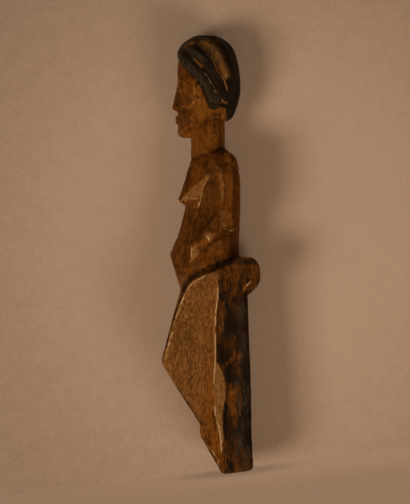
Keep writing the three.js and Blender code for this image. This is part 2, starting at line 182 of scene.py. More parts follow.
def roll(path, radius, fullness=0.25, corners=24, per_span=12):
    """A round roll along a smooth path. At share s of the way its radius is
    radius (1 - fullness + fullness sin(pi s)), in the plane across the path, and at distance d
    from either end it is at most sqrt(d (2 radius - d)), which rounds the ends."""
    line = smooth_curve(path, per_span)
    tangent = np.gradient(line, axis=0)
    tangent /= np.linalg.norm(tangent, axis=1, keepdims=True)
    beside = np.cross(tangent, [0.13, 0.31, 0.94])
    beside /= np.linalg.norm(beside, axis=1, keepdims=True)
    above = np.cross(tangent, beside)
    gone = np.concatenate([[0], np.cumsum(np.linalg.norm(np.diff(line, axis=0), axis=1))])
    full = radius * (1 - fullness + fullness * np.sin(np.pi * gone / gone[-1]))
    end = np.clip(np.minimum(gone, gone[-1] - gone) + 0.02, 0, radius)
    full = np.minimum(full, np.sqrt(end * (2 * radius - end)))[:, None, None]
    u = np.linspace(0, 2 * np.pi, corners, endpoint=False)[None, :, None]
    rings = line[:, None] + full * (np.cos(u) * beside[:, None] + np.sin(u) * above[:, None])
    return closed_tube(rings)


def bead(middle, half_sizes, corners=24, rows=13):
    """An ellipsoid: the middle plus half sizes times (sin v cos u, sin v sin u, -cos v), closed at
    its two poles."""
    u = np.linspace(0, 2 * np.pi, corners, endpoint=False)[None, :]
    v = np.linspace(0.08, np.pi - 0.08, rows)[:, None]
    unit = np.stack([np.sin(v) * np.cos(u), np.sin(v) * np.sin(u), -np.cos(v) + 0 * u], axis=-1)
    return closed_tube(np.asarray(middle) + unit * np.asarray(half_sizes))


def mirrored(shell):
    """The same shell on the other side of the figure, with its faces turned to stay outwards."""
    points, faces = shell
    return points * [-1, 1, 1], [face[::-1] for face in faces]


def on_head_side(path):
    """[y, z] points laid on the left side of the head: x is side (1 - |along|^p)^(1/p), where along
    is how far y lies from the section's middle, as a share of its half depth."""
    path = np.asarray(path, float)
    y, z = path[:, 0], path[:, 1]
    front, back, side = (np.interp(z, HEAD[:, 0], HEAD[:, k]) for k in (1, 2, 3))
    along = np.minimum(np.abs((2 * y - front - back) / (back - front)), 1)
    return np.stack([side * (1 - along**HEAD_POWER) ** (1 / HEAD_POWER), y, z], axis=-1)


def on_face(path, proud=0.0):
    """[x, z] points laid on the front of the head, so far proud of it: y is the section's middle
    less its half depth times (1 - |x / side|^p)^(1/p)."""
    path = np.asarray(path, float)
    x, z = path[:, 0], path[:, 1]
    front, back, side = (np.interp(z, HEAD[:, 0], HEAD[:, k]) for k in (1, 2, 3))
    share = (1 - np.minimum(np.abs(x / side), 1) ** HEAD_POWER) ** (1 / HEAD_POWER)
    return np.stack([x, (front + back) / 2 - (back - front) / 2 * share - proud, z], axis=-1)


HEAD = smooth_curve(HEAD_SECTIONS, 6)


def lock_paths(per_span):
    """The middle lines of the left side's rolled locks, sunk a little into the head."""
    paths = [np.vstack([[-1, *path[0]], on_head_side(path[1:]) - [LOCK_SUNK, 0, 0]]) for path in ROLLS]
    return [smooth_curve(path, per_span) for path in paths] if per_span > 1 else paths


def past_hairline(points):
    """How far points lie past the slanting hairline: (y - bend) times one part of a slope plus
    (z - bend) times the other, and the larger of the two slopes' values."""
    y, z = points[:, 1] - HAIRLINE_BEND[0], points[:, 2] - HAIRLINE_BEND[1]
    return np.maximum(*(y * back + z * up for back, up in HAIRLINE_SLOPES))


def hair_shells():
    """A cap that is a little thicker than the head and lies past the slanting hairline, three rolled
    locks on each side that meet over the brow, and a thick crest from crown to nape."""
    middle_z = (CHIN_Z + CROWN_Z) / 2
    grown = HEAD + [0, -HAIR_THICK, HAIR_THICK, HAIR_THICK]
    grown[:, 0] += HAIR_THICK * (HEAD[:, 0] - middle_z) / (CROWN_Z - middle_z)
    points, faces = column(grown, HEAD_POWER)
    # Points below the hairline or the lower rim sink into the head, and the cap stays closed.
    above = np.minimum(past_hairline(points), points[:, 2] - HAIR_LOW_Z)
    centre = np.array([0, -0.6, 214])
    sunk = np.clip(-above / 1.2, 0, 1)[:, None] * 0.2
    cap = (points + (centre - points) * sunk, faces)
    locks = [roll(path, LOCK_RADIUS) for path in lock_paths(1)]
    crest = column(smooth_curve(CREST_SECTIONS, 6), 2.3)
    return [cap, crest, *locks, *map(mirrored, locks)]


def face_shells():
    """A calm, plain face on thirds between hairline and chin: a narrow nose with small wings,
    half-closed eyes between two lids under low brows, full lips, and ears like a plain C."""
    nose = column(
        smooth_curve(
            [
                [BROW_Z + 2, -16.6, -10, 1.5],
                [BROW_Z - 2, -17.2, -10, 1.35],
                [BROW_Z - 7, -18.3, -10, 1.7],
                [NOSE_Z + 3.4, -19.4, -10, 2.3],
                [NOSE_Z + 1.2, -19.8, -10, 2.7],
                [NOSE_Z + 0.2, -19.2, -10, 2.5],
                [NOSE_Z - 0.3, -18, -10, 1.8],
            ],
            5,
        ),
        2.0,
        corners=48,
    )
    eye_z = BROW_Z - 3.8

    def fold(height, x, up, proud, radius, fullness, corners):
        """A thin roll across the face through points at x and so far above a height."""
        path = np.stack([x, height + np.array(up, float)], axis=-1)
        return roll(on_face(path, proud), radius, fullness, corners)

    upper_lid = fold(eye_z, (2.2, 3.6, 5.6, 7.8, 9.4), (0, 1.2, 1.7, 1, -0.4), 0.25, 0.62, 0.4, 12)
    lower_lid = fold(eye_z, (2.4, 4.2, 6, 7.8, 9.2), (-0.4, -1.4, -1.6, -1.1, -0.4), 0.15, 0.5, 0.4, 12)
    eyebrow = fold(BROW_Z, (1.6, 3.8, 6.4, 9, 10.8), (-0.6, 1, 1.4, 0.4, -1.6), -0.3, 1.1, 0.5, 16)
    upper_lip = fold(MOUTH_Z, (-3.7, -1.6, 0, 1.6, 3.7), (0, 1.05, 0.8, 1.05, 0), 0.35, 1.0, 0.5, 16)
    lower_lip = fold(
        MOUTH_Z, (-3.3, -1.4, 0, 1.4, 3.3), (-0.3, -1.2, -1.4, -1.2, -0.3), 0.35, 1.15, 0.5, 16
    )
    nose_wing = bead([2.5, -17.2, NOSE_Z + 1.4], [1.3, 1.7, 1.5])
    eyeball = bead([5.6, -14.7, eye_z], [3.3, 1.5, 1.6])
    cheekbone = bead([6.9, -11.2, NOSE_Z + 4.6], [4.4, 3.4, 5.6])
    ear_rim = roll(on_head_side(EAR) + [0.5, 0, 0], 1.25, 0.2, 14)
    ear = bead([12.9, -4.6, NOSE_Z + 10], [1.3, 2.4, 5])
    pairs = [nose_wing, eyeball, upper_lid, lower_lid, eyebrow, cheekbone, ear_rim, ear]
    around_mouth = bead([0, -13.9, MOUTH_Z], [5.2, 3.1, 3.4])
    chin = bead([0, -13.9, CHIN_Z + 3.6], [4.6, 2.9, 3.3])
    return [nose, upper_lip, lower_lip, around_mouth, chin, *pairs, *map(mirrored, pairs)]


def head_shells():
    """The bare head, its face and its hair."""
    return [column(HEAD, HEAD_POWER), *face_shells(), *hair_shells()]


def coordinates(items, name):
    """A vector of each of a mesh's items, such as its vertices' places, as rows of an array."""
    flat = np.empty(len(items) * 3, np.float32)
    items.foreach_get(name, flat)
    return flat.reshape(-1, 3).astype(float)


def body_shells():
    """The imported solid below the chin, as a merged copy, and the neck that carries on up into the
    head: two superellipses of the same size, one above the other."""
    solid = bmesh.new()
    solid.from_mesh(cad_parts[NODE].data)
    bmesh.ops.remove_doubles(solid, verts=solid.verts, dist=1e-6)
    cut = stood(np.array([[0, 0, NECK_CUT_Z]]))[0]
    up = UPRIGHT_TO_PART @ [0, 0, 1]
    every = [*solid.verts, *solid.edges, *solid.faces]
    bmesh.ops.bisect_plane(solid, geom=every, plane_co=cut, plane_no=up, clear_outer=True)
    rim = [edge for edge in solid.edges if edge.is_boundary]
    bmesh.ops.holes_fill(solid, edges=rim, sides=0)
    copy = bpy.data.meshes.new("packed_copy")
    solid.to_mesh(copy)
    solid.free()
    faces = [list(face.vertices) for face in copy.polygons]
    below_chin = (upright(coordinates(copy.vertices, "co")), faces)
    bpy.data.meshes.remove(copy)
    low, high, deep, side = (NECK[key] for key in ("low", "high", "deep", "side"))
    neck = column(np.array([[low, -deep, deep, side], [high, -deep, deep, side]]), 2.0)
    return [below_chin, neck]


# Carving


def settle(piece):
    """Puts the result of the piece's modifiers into its mesh, and takes them off."""
    before = piece.data
    seen = piece.evaluated_get(bpy.context.evaluated_depsgraph_get())
    piece.data = bpy.data.meshes.new_from_object(seen)
    piece.modifiers.clear()
    bpy.data.meshes.remove(before)
    piece.data.name = piece.name


def skinned(name, shells, voxel):
    """One closed, even skin round all the shells: they are put into one mesh and remeshed in cubes
    of the given size, in millimetres."""
    starts = np.cumsum([0] + [len(points) for points, _ in shells])
    points = stood(np.vstack([points for points, _ in shells]))
    faces = [[start + i for i in face] for start, (_, shell) in zip(starts, shells) for face in shell]
    rough = bpy.data.meshes.new(name + "_rough")
    rough.from_pydata(points.tolist(), [], faces)
    piece = bpy.data.objects.new(name, rough)
    bpy.context.scene.collection.objects.link(piece)
    remesh = piece.modifiers.new("skin", "REMESH")
    remesh.mode = "VOXEL"
    remesh.voxel_size = voxel / 1000
    remesh.use_smooth_shade = True
    settle(piece)
    if not piece.data.polygons:
        raise RuntimeError(f"the skin of {name} came out empty")
    return piece


class Skin:
    """A piece's vertices as arrays in the carver's frame, with the means to smooth and push them."""

    def __init__(self, piece):
        self.mesh = piece.data
        self.points = upright(coordinates(self.mesh.vertices, "co"))
        ends = np.empty(len(self.mesh.edges) * 2, np.int32)
        self.mesh.edges.foreach_get("vertices", ends)
        self.ends = ends.reshape(-1, 2)
        self.degree = np.bincount(ends, minlength=len(self.points))

    def averaged(self, values):
        """Each vertex's mean over the vertices it shares an edge with."""
        a, b = self.ends.T
        count = len(values)
        columns = values.reshape(count, -1).T
        total = [np.bincount(a, each[b], count) + np.bincount(b, each[a], count) for each in columns]
        return (np.array(total) / self.degree).T.reshape(values.shape)

    def smooth(self, rounds):
        """Taubin smoothing: each round moves the points halfway to their neighbours' mean and then
        0.53 of the way back out, which takes off the remesh's steps and keeps the volume."""
        for share in [0.5, -0.53] * rounds:
            self.points += share * (self.averaged(self.points) - self.points)

    def normals(self):
        """Outward unit normals of the points as they are now."""
        self.store()
        return coordinates(self.mesh.vertex_normals, "vector") @ UPRIGHT_TO_PART

    def push(self, amount):
        """Moves the points outwards by so many millimetres each."""
        self.points += self.normals() * np.asarray(amount)[:, None]

    def bend(self, reach):
        """How far the surface bulges (above 0) or caves in (below 0): each point's height above its
        neighbours' mean, spread over so many rounds of averaging."""
        height = ((self.points - self.averaged(self.points)) * self.normals()).sum(1)
        for _ in range(reach):
            height = self.averaged(height)
        return height

    def lay_facet(self, through, facing, path, width, rise=0.0):
        """On both sides of the figure and within a width of a path in the side view, points in
        front of a plane drop back onto it, and points behind it rise by so much at most."""
        side = np.where(self.points[:, :1] < 0, [-1, 1, 1], [1, 1, 1])
        facing = np.asarray(facing) / np.linalg.norm(facing)
        height = np.maximum((self.points * side - through) @ facing, -rise)
        nearness = 1 - step(distance_to(self.points[:, 1:], path), width - 1.5, width + 1.5)
        nearness = nearness * step(np.abs(self.points[:, 0]), 6, 9)
        self.points -= (height * nearness)[:, None] * facing * side

    def soften(self, where, rounds):
        """Moves points to their neighbours' mean so many times, by a share for each point."""
        for _ in range(rounds):
            self.points += where[:, None] * (self.averaged(self.points) - self.points)

    def store(self):
        """Puts the points back into the mesh."""
        self.mesh.vertices.foreach_set("co", stood(self.points).astype(np.float32).ravel())
        self.mesh.update()

    def paint(self, name, values):
        """Keeps a number for each point, as an attribute that materials read."""
        layer = self.mesh.attributes.new(name, "FLOAT", "POINT")
        layer.data.foreach_set("value", np.clip(values, 0, 1).astype(np.float32))


def thin(piece, most):
    """Joins up flat areas until so many triangles are left; what is painted stays."""
    piece.data.calc_loop_triangles()
    fewer = piece.modifiers.new("thin", "DECIMATE")
    fewer.ratio = min(1, most / len(piece.data.loop_triangles))
    settle(piece)


def step(value, low, high):
    """0 below low, 1 above high, and t^2 (3 - 2t) between."""
    t = np.clip((value - low) / (high - low), 0, 1)
    return t * t * (3 - 2 * t)


def scattered(cells, seed):
    """A fixed number from 0 to 1 for each whole-number cell, mixed from its three coordinates."""
    x, y, z = np.moveaxis(cells.astype(np.int64), -1, 0)
    key = x * 73856093 ^ y * 19349663 ^ z * 83492791 ^ seed * 2654435761
    key = (key & 0xFFFFFFFF) * 1274126177 & 0xFFFFFFFF
    key = (key ^ key >> 15) * 2246822519 & 0xFFFFFFFF
    return (key ^ key >> 13) / 2**32


def drift(points, size, seed):
    """Smooth noise from -1 to 1: the numbers of the eight cell corners round a point, blended by
    t^2 (3 - 2t) along each axis. Size is the cells' size along x, y and z."""
    place = points / np.asarray(size, float)
    base = np.floor(place)
    t = place - base
    t = t * t * (3 - 2 * t)
    total = np.zeros(len(points))
    for corner in np.ndindex(2, 2, 2):
        weight = np.prod(np.where(corner, t, 1 - t), axis=1)
        total += weight * scattered(base + corner, seed)
    return total * 2 - 1


def drifts(points, size, seeds):
    """The smooth noise of each of the seeds, side by side."""
    return np.stack([drift(points, size, seed) for seed in seeds], axis=-1)


def knife_cuts(points, size, seed):
    """Shallow scoops side by side, 0 in the middle of each and up to about 1 on the ridges between:
    the squared distance to the nearest of a set of jittered cell points, in cells."""
    place = points / np.asarray(size, float)
    base = np.floor(place)
    nearest = np.full(len(points), 9.0)
    for offset in np.ndindex(3, 3, 3):
        cell = base + offset - 1
        jitter = np.stack([scattered(cell, seed + k) for k in range(3)], axis=-1)
        nearest = np.minimum(nearest, ((cell + 0.15 + 0.7 * jitter - place) ** 2).sum(1))
    return np.minimum(nearest, 1.2)


def distance_to(points, path):
    """Distance from each point to a path: to the nearest spot of each of its straight spans."""
    path = np.asarray(path, float)
    nearest = np.full(len(points), np.inf)
    for a, b in zip(path[:-1], path[1:]):
        along = np.clip((points - a) @ (b - a) / ((b - a) @ (b - a)), 0, 1)
        nearest = np.minimum(nearest, np.linalg.norm(points - a - along[:, None] * (b - a), axis=1))
    return nearest


def strokes(points, marks, waver, seed):
    """How strongly each point lies under any of the marks, seen from the side: fading from 1 in the
    middle of a mark to 0 at its half width, with a course that wavers and differs from left to
    right."""
    place = points[:, 1:] + waver * drifts(points, (9, 3, 5), (seed, seed + 1))
    covered = [1 - step(distance_to(place, path) / width, 0, 1) for path, width in marks]
    return np.max(covered, axis=0)


# Marks on the side of the figure: the [y, z] points of each one's path and its half width.
# Patches of black stain behind the ridge of the legs.
STAINED = (
    (((7, 100), (7.2, 96.6)), 1.6),
    (((9.6, 93), (11.6, 88), (12.6, 82)), 3),
    (((11.6, 81), (18, 80.4)), 5.4),
    (((16.2, 79), (19.4, 70), (20.4, 66)), 2.7),
    (((11.4, 56.6), (17.4, 50.4)), 2.6),
    (((10.8, 9), (12.8, 2)), 2.4),
    (((6, 70.4), (8.4, 65), (10.8, 59), (12, 52)), 3.3),
    (((8.8, 40), (9, 30), (9.6, 21)), 2.2),
    (((20, 61), (21.6, 53), (21, 42), (21.6, 30), (22.8, 17)), 4),
    (((17.4, 30), (18.8, 19)), 3),
    (((21.8, 99), (21.6, 84), (22.4, 70)), 2.4),
)
# Even black along the ledge round the hips and the front edge of the legs: staining, and painted shade
# on the ledge's upper face and on the edge turned from the lamps.
STAIN_AND_SHADE_BANDS = (
    (((-13.6, 101.4), (-9, 107.8), (-3.2, 111.6)), 2.6),
    (((-6, 110.2), (4, 114.2), (14, 117.2), (27, 116.8)), 3.6),
    (((-13.2, 100), (-16.4, 92.5), (-19.2, 85.2), (-21.6, 76.5), (-23.7, 69.1), (-24.6, 64)), 0.7),
    (((-24.4, 59.2), (-16.8, 48), (-10, 38), (-3.6, 28.6)), 0.6),
    (((-3.4, 20.4), (2, 12), (7.2, 2.4)), 0.6),
    (((11, 7), (11.6, 0)), 2.4),
)
# Dry grey film on the stain, and in two spots under the ledge.
ASHEN = (
    (((17.4, 95), (19, 86)), 2),
    (((20.6, 93), (20, 83)), 1.5),
    (((15.4, 51), (17.8, 41)), 2.2),
    (((20.4, 52), (21.2, 44), (20.8, 35)), 2.8),
    (((19.6, 95), (20, 86)), 2.4),
    (((18, 44), (17.4, 33)), 1.2),
    (((14.8, 28.8), (17.4, 27)), 0.8),
    (((19.6, 31), (21.6, 27.4)), 0.9),
    (((21.4, 16), (23.4, 10), (24.4, 3)), 1.5),
    (((15, 5.4), (15.4, 1)), 0.9),
    (((18.2, 5.6), (18.8, 1.4)), 0.9),
    (((8, 83), (9.6, 76)), 1),
    (((-13.4, 108.6), (-11.4, 103)), 1.4),
    (((-1.6, 109.4), (-0.6, 106.6)), 1.1),
)
# A painted highlight on the elbow, and places gone down to pale wood on the shin and the sliver beside
# the ridge.
WORN_AND_ELBOW_HIGHLIGHT = (
    (((12.4, 133.6), (14.8, 134)), 0.45),
    (((14.3, 133.8), (14.8, 135.2)), 0.45),
    (((-13, 45.4), (-5, 35.4)), 1.4),
    (((5.4, 36), (6, 26)), 1.4),
)
# Flat facets made lighter, partly from use and partly as painted light where they face the lamps,
# with painted highlights on the forearm and the slab: the corners of each, anticlockwise in the side
# view, how softly it ends and how strongly it is lightened.
RUBBED_AND_LIT_FACETS = (
    (
        ((-14.6, 151.6), (-13, 149.8), (-5.4, 150.6), (-2.9, 156.2), (0.9, 165.4), (-6.5, 159)),
        0.5,
        0.74,
    ),
    (((7.1, 150), (8.4, 149.6), (9, 157), (7.7, 164), (5.6, 165.8)), 0.5, 0.85),
    (((9.4, 134.2), (12, 137), (10.4, 146.4), (6.4, 145), (6.8, 138.4)), 1.3, 0.45),
    (((10.6, 165.4), (13.2, 165.6), (12.6, 175.8), (9.6, 177.4)), 0.9, 0.3),
    (((-2.2, 130.2), (0.8, 127.6), (2.9, 130.9), (0.4, 133.4)), 0.5, 1),
    (((-9.6, 124.9), (-9.4, 116.8), (-6.2, 119.2), (-5.1, 121.8), (-6, 125.7)), 0.4, 1),
    (((-5.9, 149.8), (-6.4, 141.6), (-4.4, 149.2)), 0.4, 0.8),
    (((-8.2, 141.6), (-11, 134), (-7, 141)), 0.5, 0.4),
    (((18.4, 101.2), (20.2, 101.8), (24.6, 106.6), (22.4, 105.8)), 0.35, 1),
    (((-23.2, 62.7), (-21.7, 59.9), (-18.9, 56.8), (-19.7, 60.7), (-22.5, 65.4)), 0.5, 0.9),
    (((-2.8, 109.8), (1, 105.6), (6.2, 107.2), (6.2, 110.4), (-1.6, 111)), 0.7, 0.6),
)
# Thin scrapes of bare wood along edges: thigh, breast, arm, forearm, hand and ledge; those on the
# forearm and the ledge are painted highlights.
THIGH_EDGE = (
    (-1.6, 109.4), (-6, 106.8), (-9.9, 104.2), (-12, 100.4), (-15, 92.5), (-17.7, 85.2), (-20.1, 76.5),
    (-22, 69.1), (-23, 64),
)
SCRAPES_AND_HIGHLIGHTS = (
    (THIGH_EDGE, 0.95),
    (((-14.4, 150.7), (-12.2, 152), (-10, 151.7), (-6.6, 151), (-4.4, 151.4)), 0.6),
    (((0.4, 163.4), (-3, 157), (-4.4, 149.4), (-6.4, 143.4)), 0.6),
    (((-0.4, 130.9), (0.9, 129)), 0.9),
    (((-9.2, 124.6), (-9.1, 117.4)), 0.6),
    (((19.6, 102), (23.8, 105.9)), 0.8),
)
# Places that hands kept clean and orange; the stroke down the top of the shoulder is painted light on a
# face turned from the lamps.
HANDLED_AND_LIT = (
    (((1, 96), (1, 60), (1.2, 30), (4, 16)), 5),
    (((-8, 59), (0, 57.4)), 3),
    (((-9, 104), (-3, 107.6), (3, 106)), 3.4),
    (((4, 169), (8, 172), (12, 174)), 6),
    (((11, 177), (12, 166)), 3.4),
    (((7.4, 94), (7.6, 79)), 1.8),
    (((13.6, 45), (14.4, 29)), 3.4),
    (((19, 101.6), (26, 103.4)), 1.6),
    (((-16, 112.4), (-8, 110.6), (0, 113.6)), 3.4),
    (((0, 121.6), (9, 122.4)), 3),
    (((3, 132), (-8, 124)), 3.4),
    (((10.4, 62), (19, 66)), 2.4),
)
# Darker places: between breast and arm, under the forearm, and the back of the arm.
SHADED = (
    (((2.4, 160), (2, 150), (1.6, 144)), 5),
    (((10, 129), (2, 122), (-4, 119)), 3.8),
    (((15.6, 168), (16.6, 154), (16.2, 138)), 3.6),
)
# Grooves under the forearm and along its upper edge, and shallow rings round the neck, each cut in and
# darkened with painted shade.
GROOVED = (
    (((-1.4, 122), (0.4, 125.3), (3.9, 128.4), (8.7, 130.8), (14.2, 132)), 1.2),
    (((-11.3, 126.8), (-6.5, 131.2), (0.4, 138.1), (3.2, 141.6)), 0.9),
)
RINGS = (
    (((-9.6, 192.6), (-4, 196.8), (2, 198.4), (10, 198)), 0.8),
    (((-9.6, 188.6), (-3, 193.6), (3, 195.4), (10, 195)), 0.8),
    (((-9.6, 172.6), (-5.1, 174.9), (-0.3, 176.4), (4.5, 177.8), (9.4, 179.8)), 1.3),
)
# How deep the rings and the grooves are cut, in millimetres.
RING_DEEP, GROOVE_DEEP = 0.4, 0.5


def panes(points, shapes, waver, seed):
    """How strongly each point lies inside any of the shapes, seen from the side: by its distance
    inside the nearest rim, with a rim that wavers."""
    swing = drifts(points, (5, 1.6, 2.4), (seed, seed + 1))
    place = points[:, None, 1:] + waver * swing[:, None]
    covered = []
    for corners, soft, strength in shapes:
        corners = np.array(corners, float)
        rim = np.roll(corners, -1, axis=0) - corners
        inwards = rim[:, ::-1] * [-1, 1] / np.linalg.norm(rim, axis=1, keepdims=True)
        inside = ((place - corners) * inwards).sum(2).min(1)
        covered.append(strength * step(inside, -soft, soft))
    return np.max(covered, axis=0)


def within(points, reach, soft=1.5):
    """1 inside a part of the side view, given as lowest and highest y and lowest and highest z, and
    0 outside it, with soft edges."""
    _, y, z = points.T
    y_low, y_high, z_low, z_high = reach
    across = step(y, y_low - soft, y_low + soft) * step(y_high - y, -soft, soft)
    return across * step(z, z_low - soft, z_low + soft) * step(z_high - z, -soft, soft)


# Flat facets on both sides: a point of each plane, the way it faces, and its reach in the side view:
# a path of [y, z] points and the half width round it.
PLANED = (
    ((20, 12.6, 150), (0.7, 0.71, 0), ((18, 180), (18, 133)), 10),
    ((18.6, 4, 107), (1, 0.28, 0), ((14, 116), (14, 4)), 13),
    ((8.6, 10, 178.2), (0.74, 0.05, 0.67), ((6, 174), (14, 172)), 7),
)
# The hollow between breast and arm, with how far it is filled at most.
SHALLOW = ((15.4, 0, 156), (1, -0.45, -0.12), ((2.2, 162), (1.2, 156), (0.4, 148)), 5, 2.6)
# The swelling on top of the shoulder: the middle in the side view, its reach and its height.
SHOULDER, SHOULDER_REACH, SHOULDER_HIGH = (13.4, 173.8), 4.2, 2.0

# The ridge down the outside of the legs, and the rear edge of the split-off sliver behind it:
# heights up the leg, and the y at each.
RIDGE_LINE = (
    (2, 14, 24, 34, 42, 54, 62, 86, 99, 112),
    (4.6, 7.2, 6.4, 3.9, 3.2, 3.2, 3.8, 3.8, 5.2, 5.0),
)
SLIVER_EDGE = (
    (14, 20, 28, 34, 42, 50, 56, 62),
    (7.4, 7.9, 7.2, 7.0, 8.6, 8.8, 7.4, 4.2),
)


def carve_body(skin, depth):
    """Knife work on trunk, arms, neck and legs. Facets are filled and planed flat, and the surface
    wavers by drift noise. Then it sinks by depth times (a number less d), where d is the knife
    cuts' squared distance, with long cuts down the neck and the backs of the legs and faint ones on
    the flat sides. Rings, grooves, fine noise and chipped edges come last. The sawn foot stays
    flat."""
    above_foot = step(stood(skin.points)[:, 2] * 1000, 0.3, 3)
    for facet in PLANED:
        skin.lay_facet(*facet)
    skin.lay_facet(*SHALLOW)
    skin.soften(within(skin.points, (-8, 8, 118, 134), 3), 12)
    skin.soften(within(skin.points, (-4, 7, 138, 167), 2), 14)
    skin.soften(within(skin.points, (8, 22, 166, 179), 3), 12)
    swelling = np.exp(-(((skin.points[:, 1:] - SHOULDER) / SHOULDER_REACH) ** 2).sum(1))
    skin.push(SHOULDER_HIGH * swelling * step(skin.points[:, 1], 8, 11))
    skin.soften(1 - step(stood(skin.points)[:, 2] * 1000, 0.5, 3.5), 45)

    # The ridge of the legs follows its own crooked line, and the sliver behind it drops by a step.
    x, y, z = skin.points.T
    outer = step(np.abs(x), 9, 12) * step(110 - z, 0, 6)
    bent = np.interp(z, *RIDGE_LINE) - RIDGE_Y
    shift = bent * np.exp(-(((y - RIDGE_Y) / 5) ** 2)) * outer * above_foot
    skin.points[:, 1] += shift
    x, y, z = skin.points.T
    ridge, edge = np.interp(z, *RIDGE_LINE), np.interp(z, *SLIVER_EDGE)
    sliver = outer * step(z, 13, 15) * step(62 - z, 0, 2)
    sliver = sliver * step(y, ridge, ridge + 0.5) * step(edge - y, 0, 0.5)
    crest = outer * np.exp(-(((y - ridge) / 0.55) ** 2))
    skin.push(0.3 * crest * above_foot - 0.35 * sliver)

    skin.points += 0.4 * drifts(skin.points, (17, 13, 21), (3, 4, 5)) * above_foot[:, None]
    x, y, z = skin.points.T
    neck = step(z, 176, 180)
    legs = step(113 - z, 0, 5)
    trunk = 1 - neck - legs
    flank = legs * step(RIDGE_Y - y, -0.4, 0.8)
    scoops = knife_cuts(skin.points, (5.4, 4.2, 10), 11)
    long_cuts = knife_cuts(skin.points, (4.6, 3.6, 26), 12)
    sunk = 1.5 * trunk * (0.55 - scoops) + (neck + legs * (1 - 0.75 * flank)) * (0.8 - long_cuts)
    skin.push(-depth * sunk * above_foot * (1 - sliver))
    skin.push(-RING_DEEP * strokes(skin.points, RINGS, 0.5, 16))
    arm_side = step(np.abs(skin.points[:, 0]), 8, 11)
    skin.push(-GROOVE_DEEP * strokes(skin.points, GROOVED, 0.3, 51) * arm_side)
    skin.push(0.13 * drift(skin.points, (2.2, 2.2, 4.4), 13) * above_foot)
    skin.push(0.07 * drift(skin.points, (1.1, 1.1, 3.2), 15) * above_foot)
    chips = step(drift(skin.points, (2.2, 2.2, 4.2), 14), 0.05, 0.75)
    skin.push(-1.6 * np.maximum(skin.bend(2), 0) * chips * above_foot)


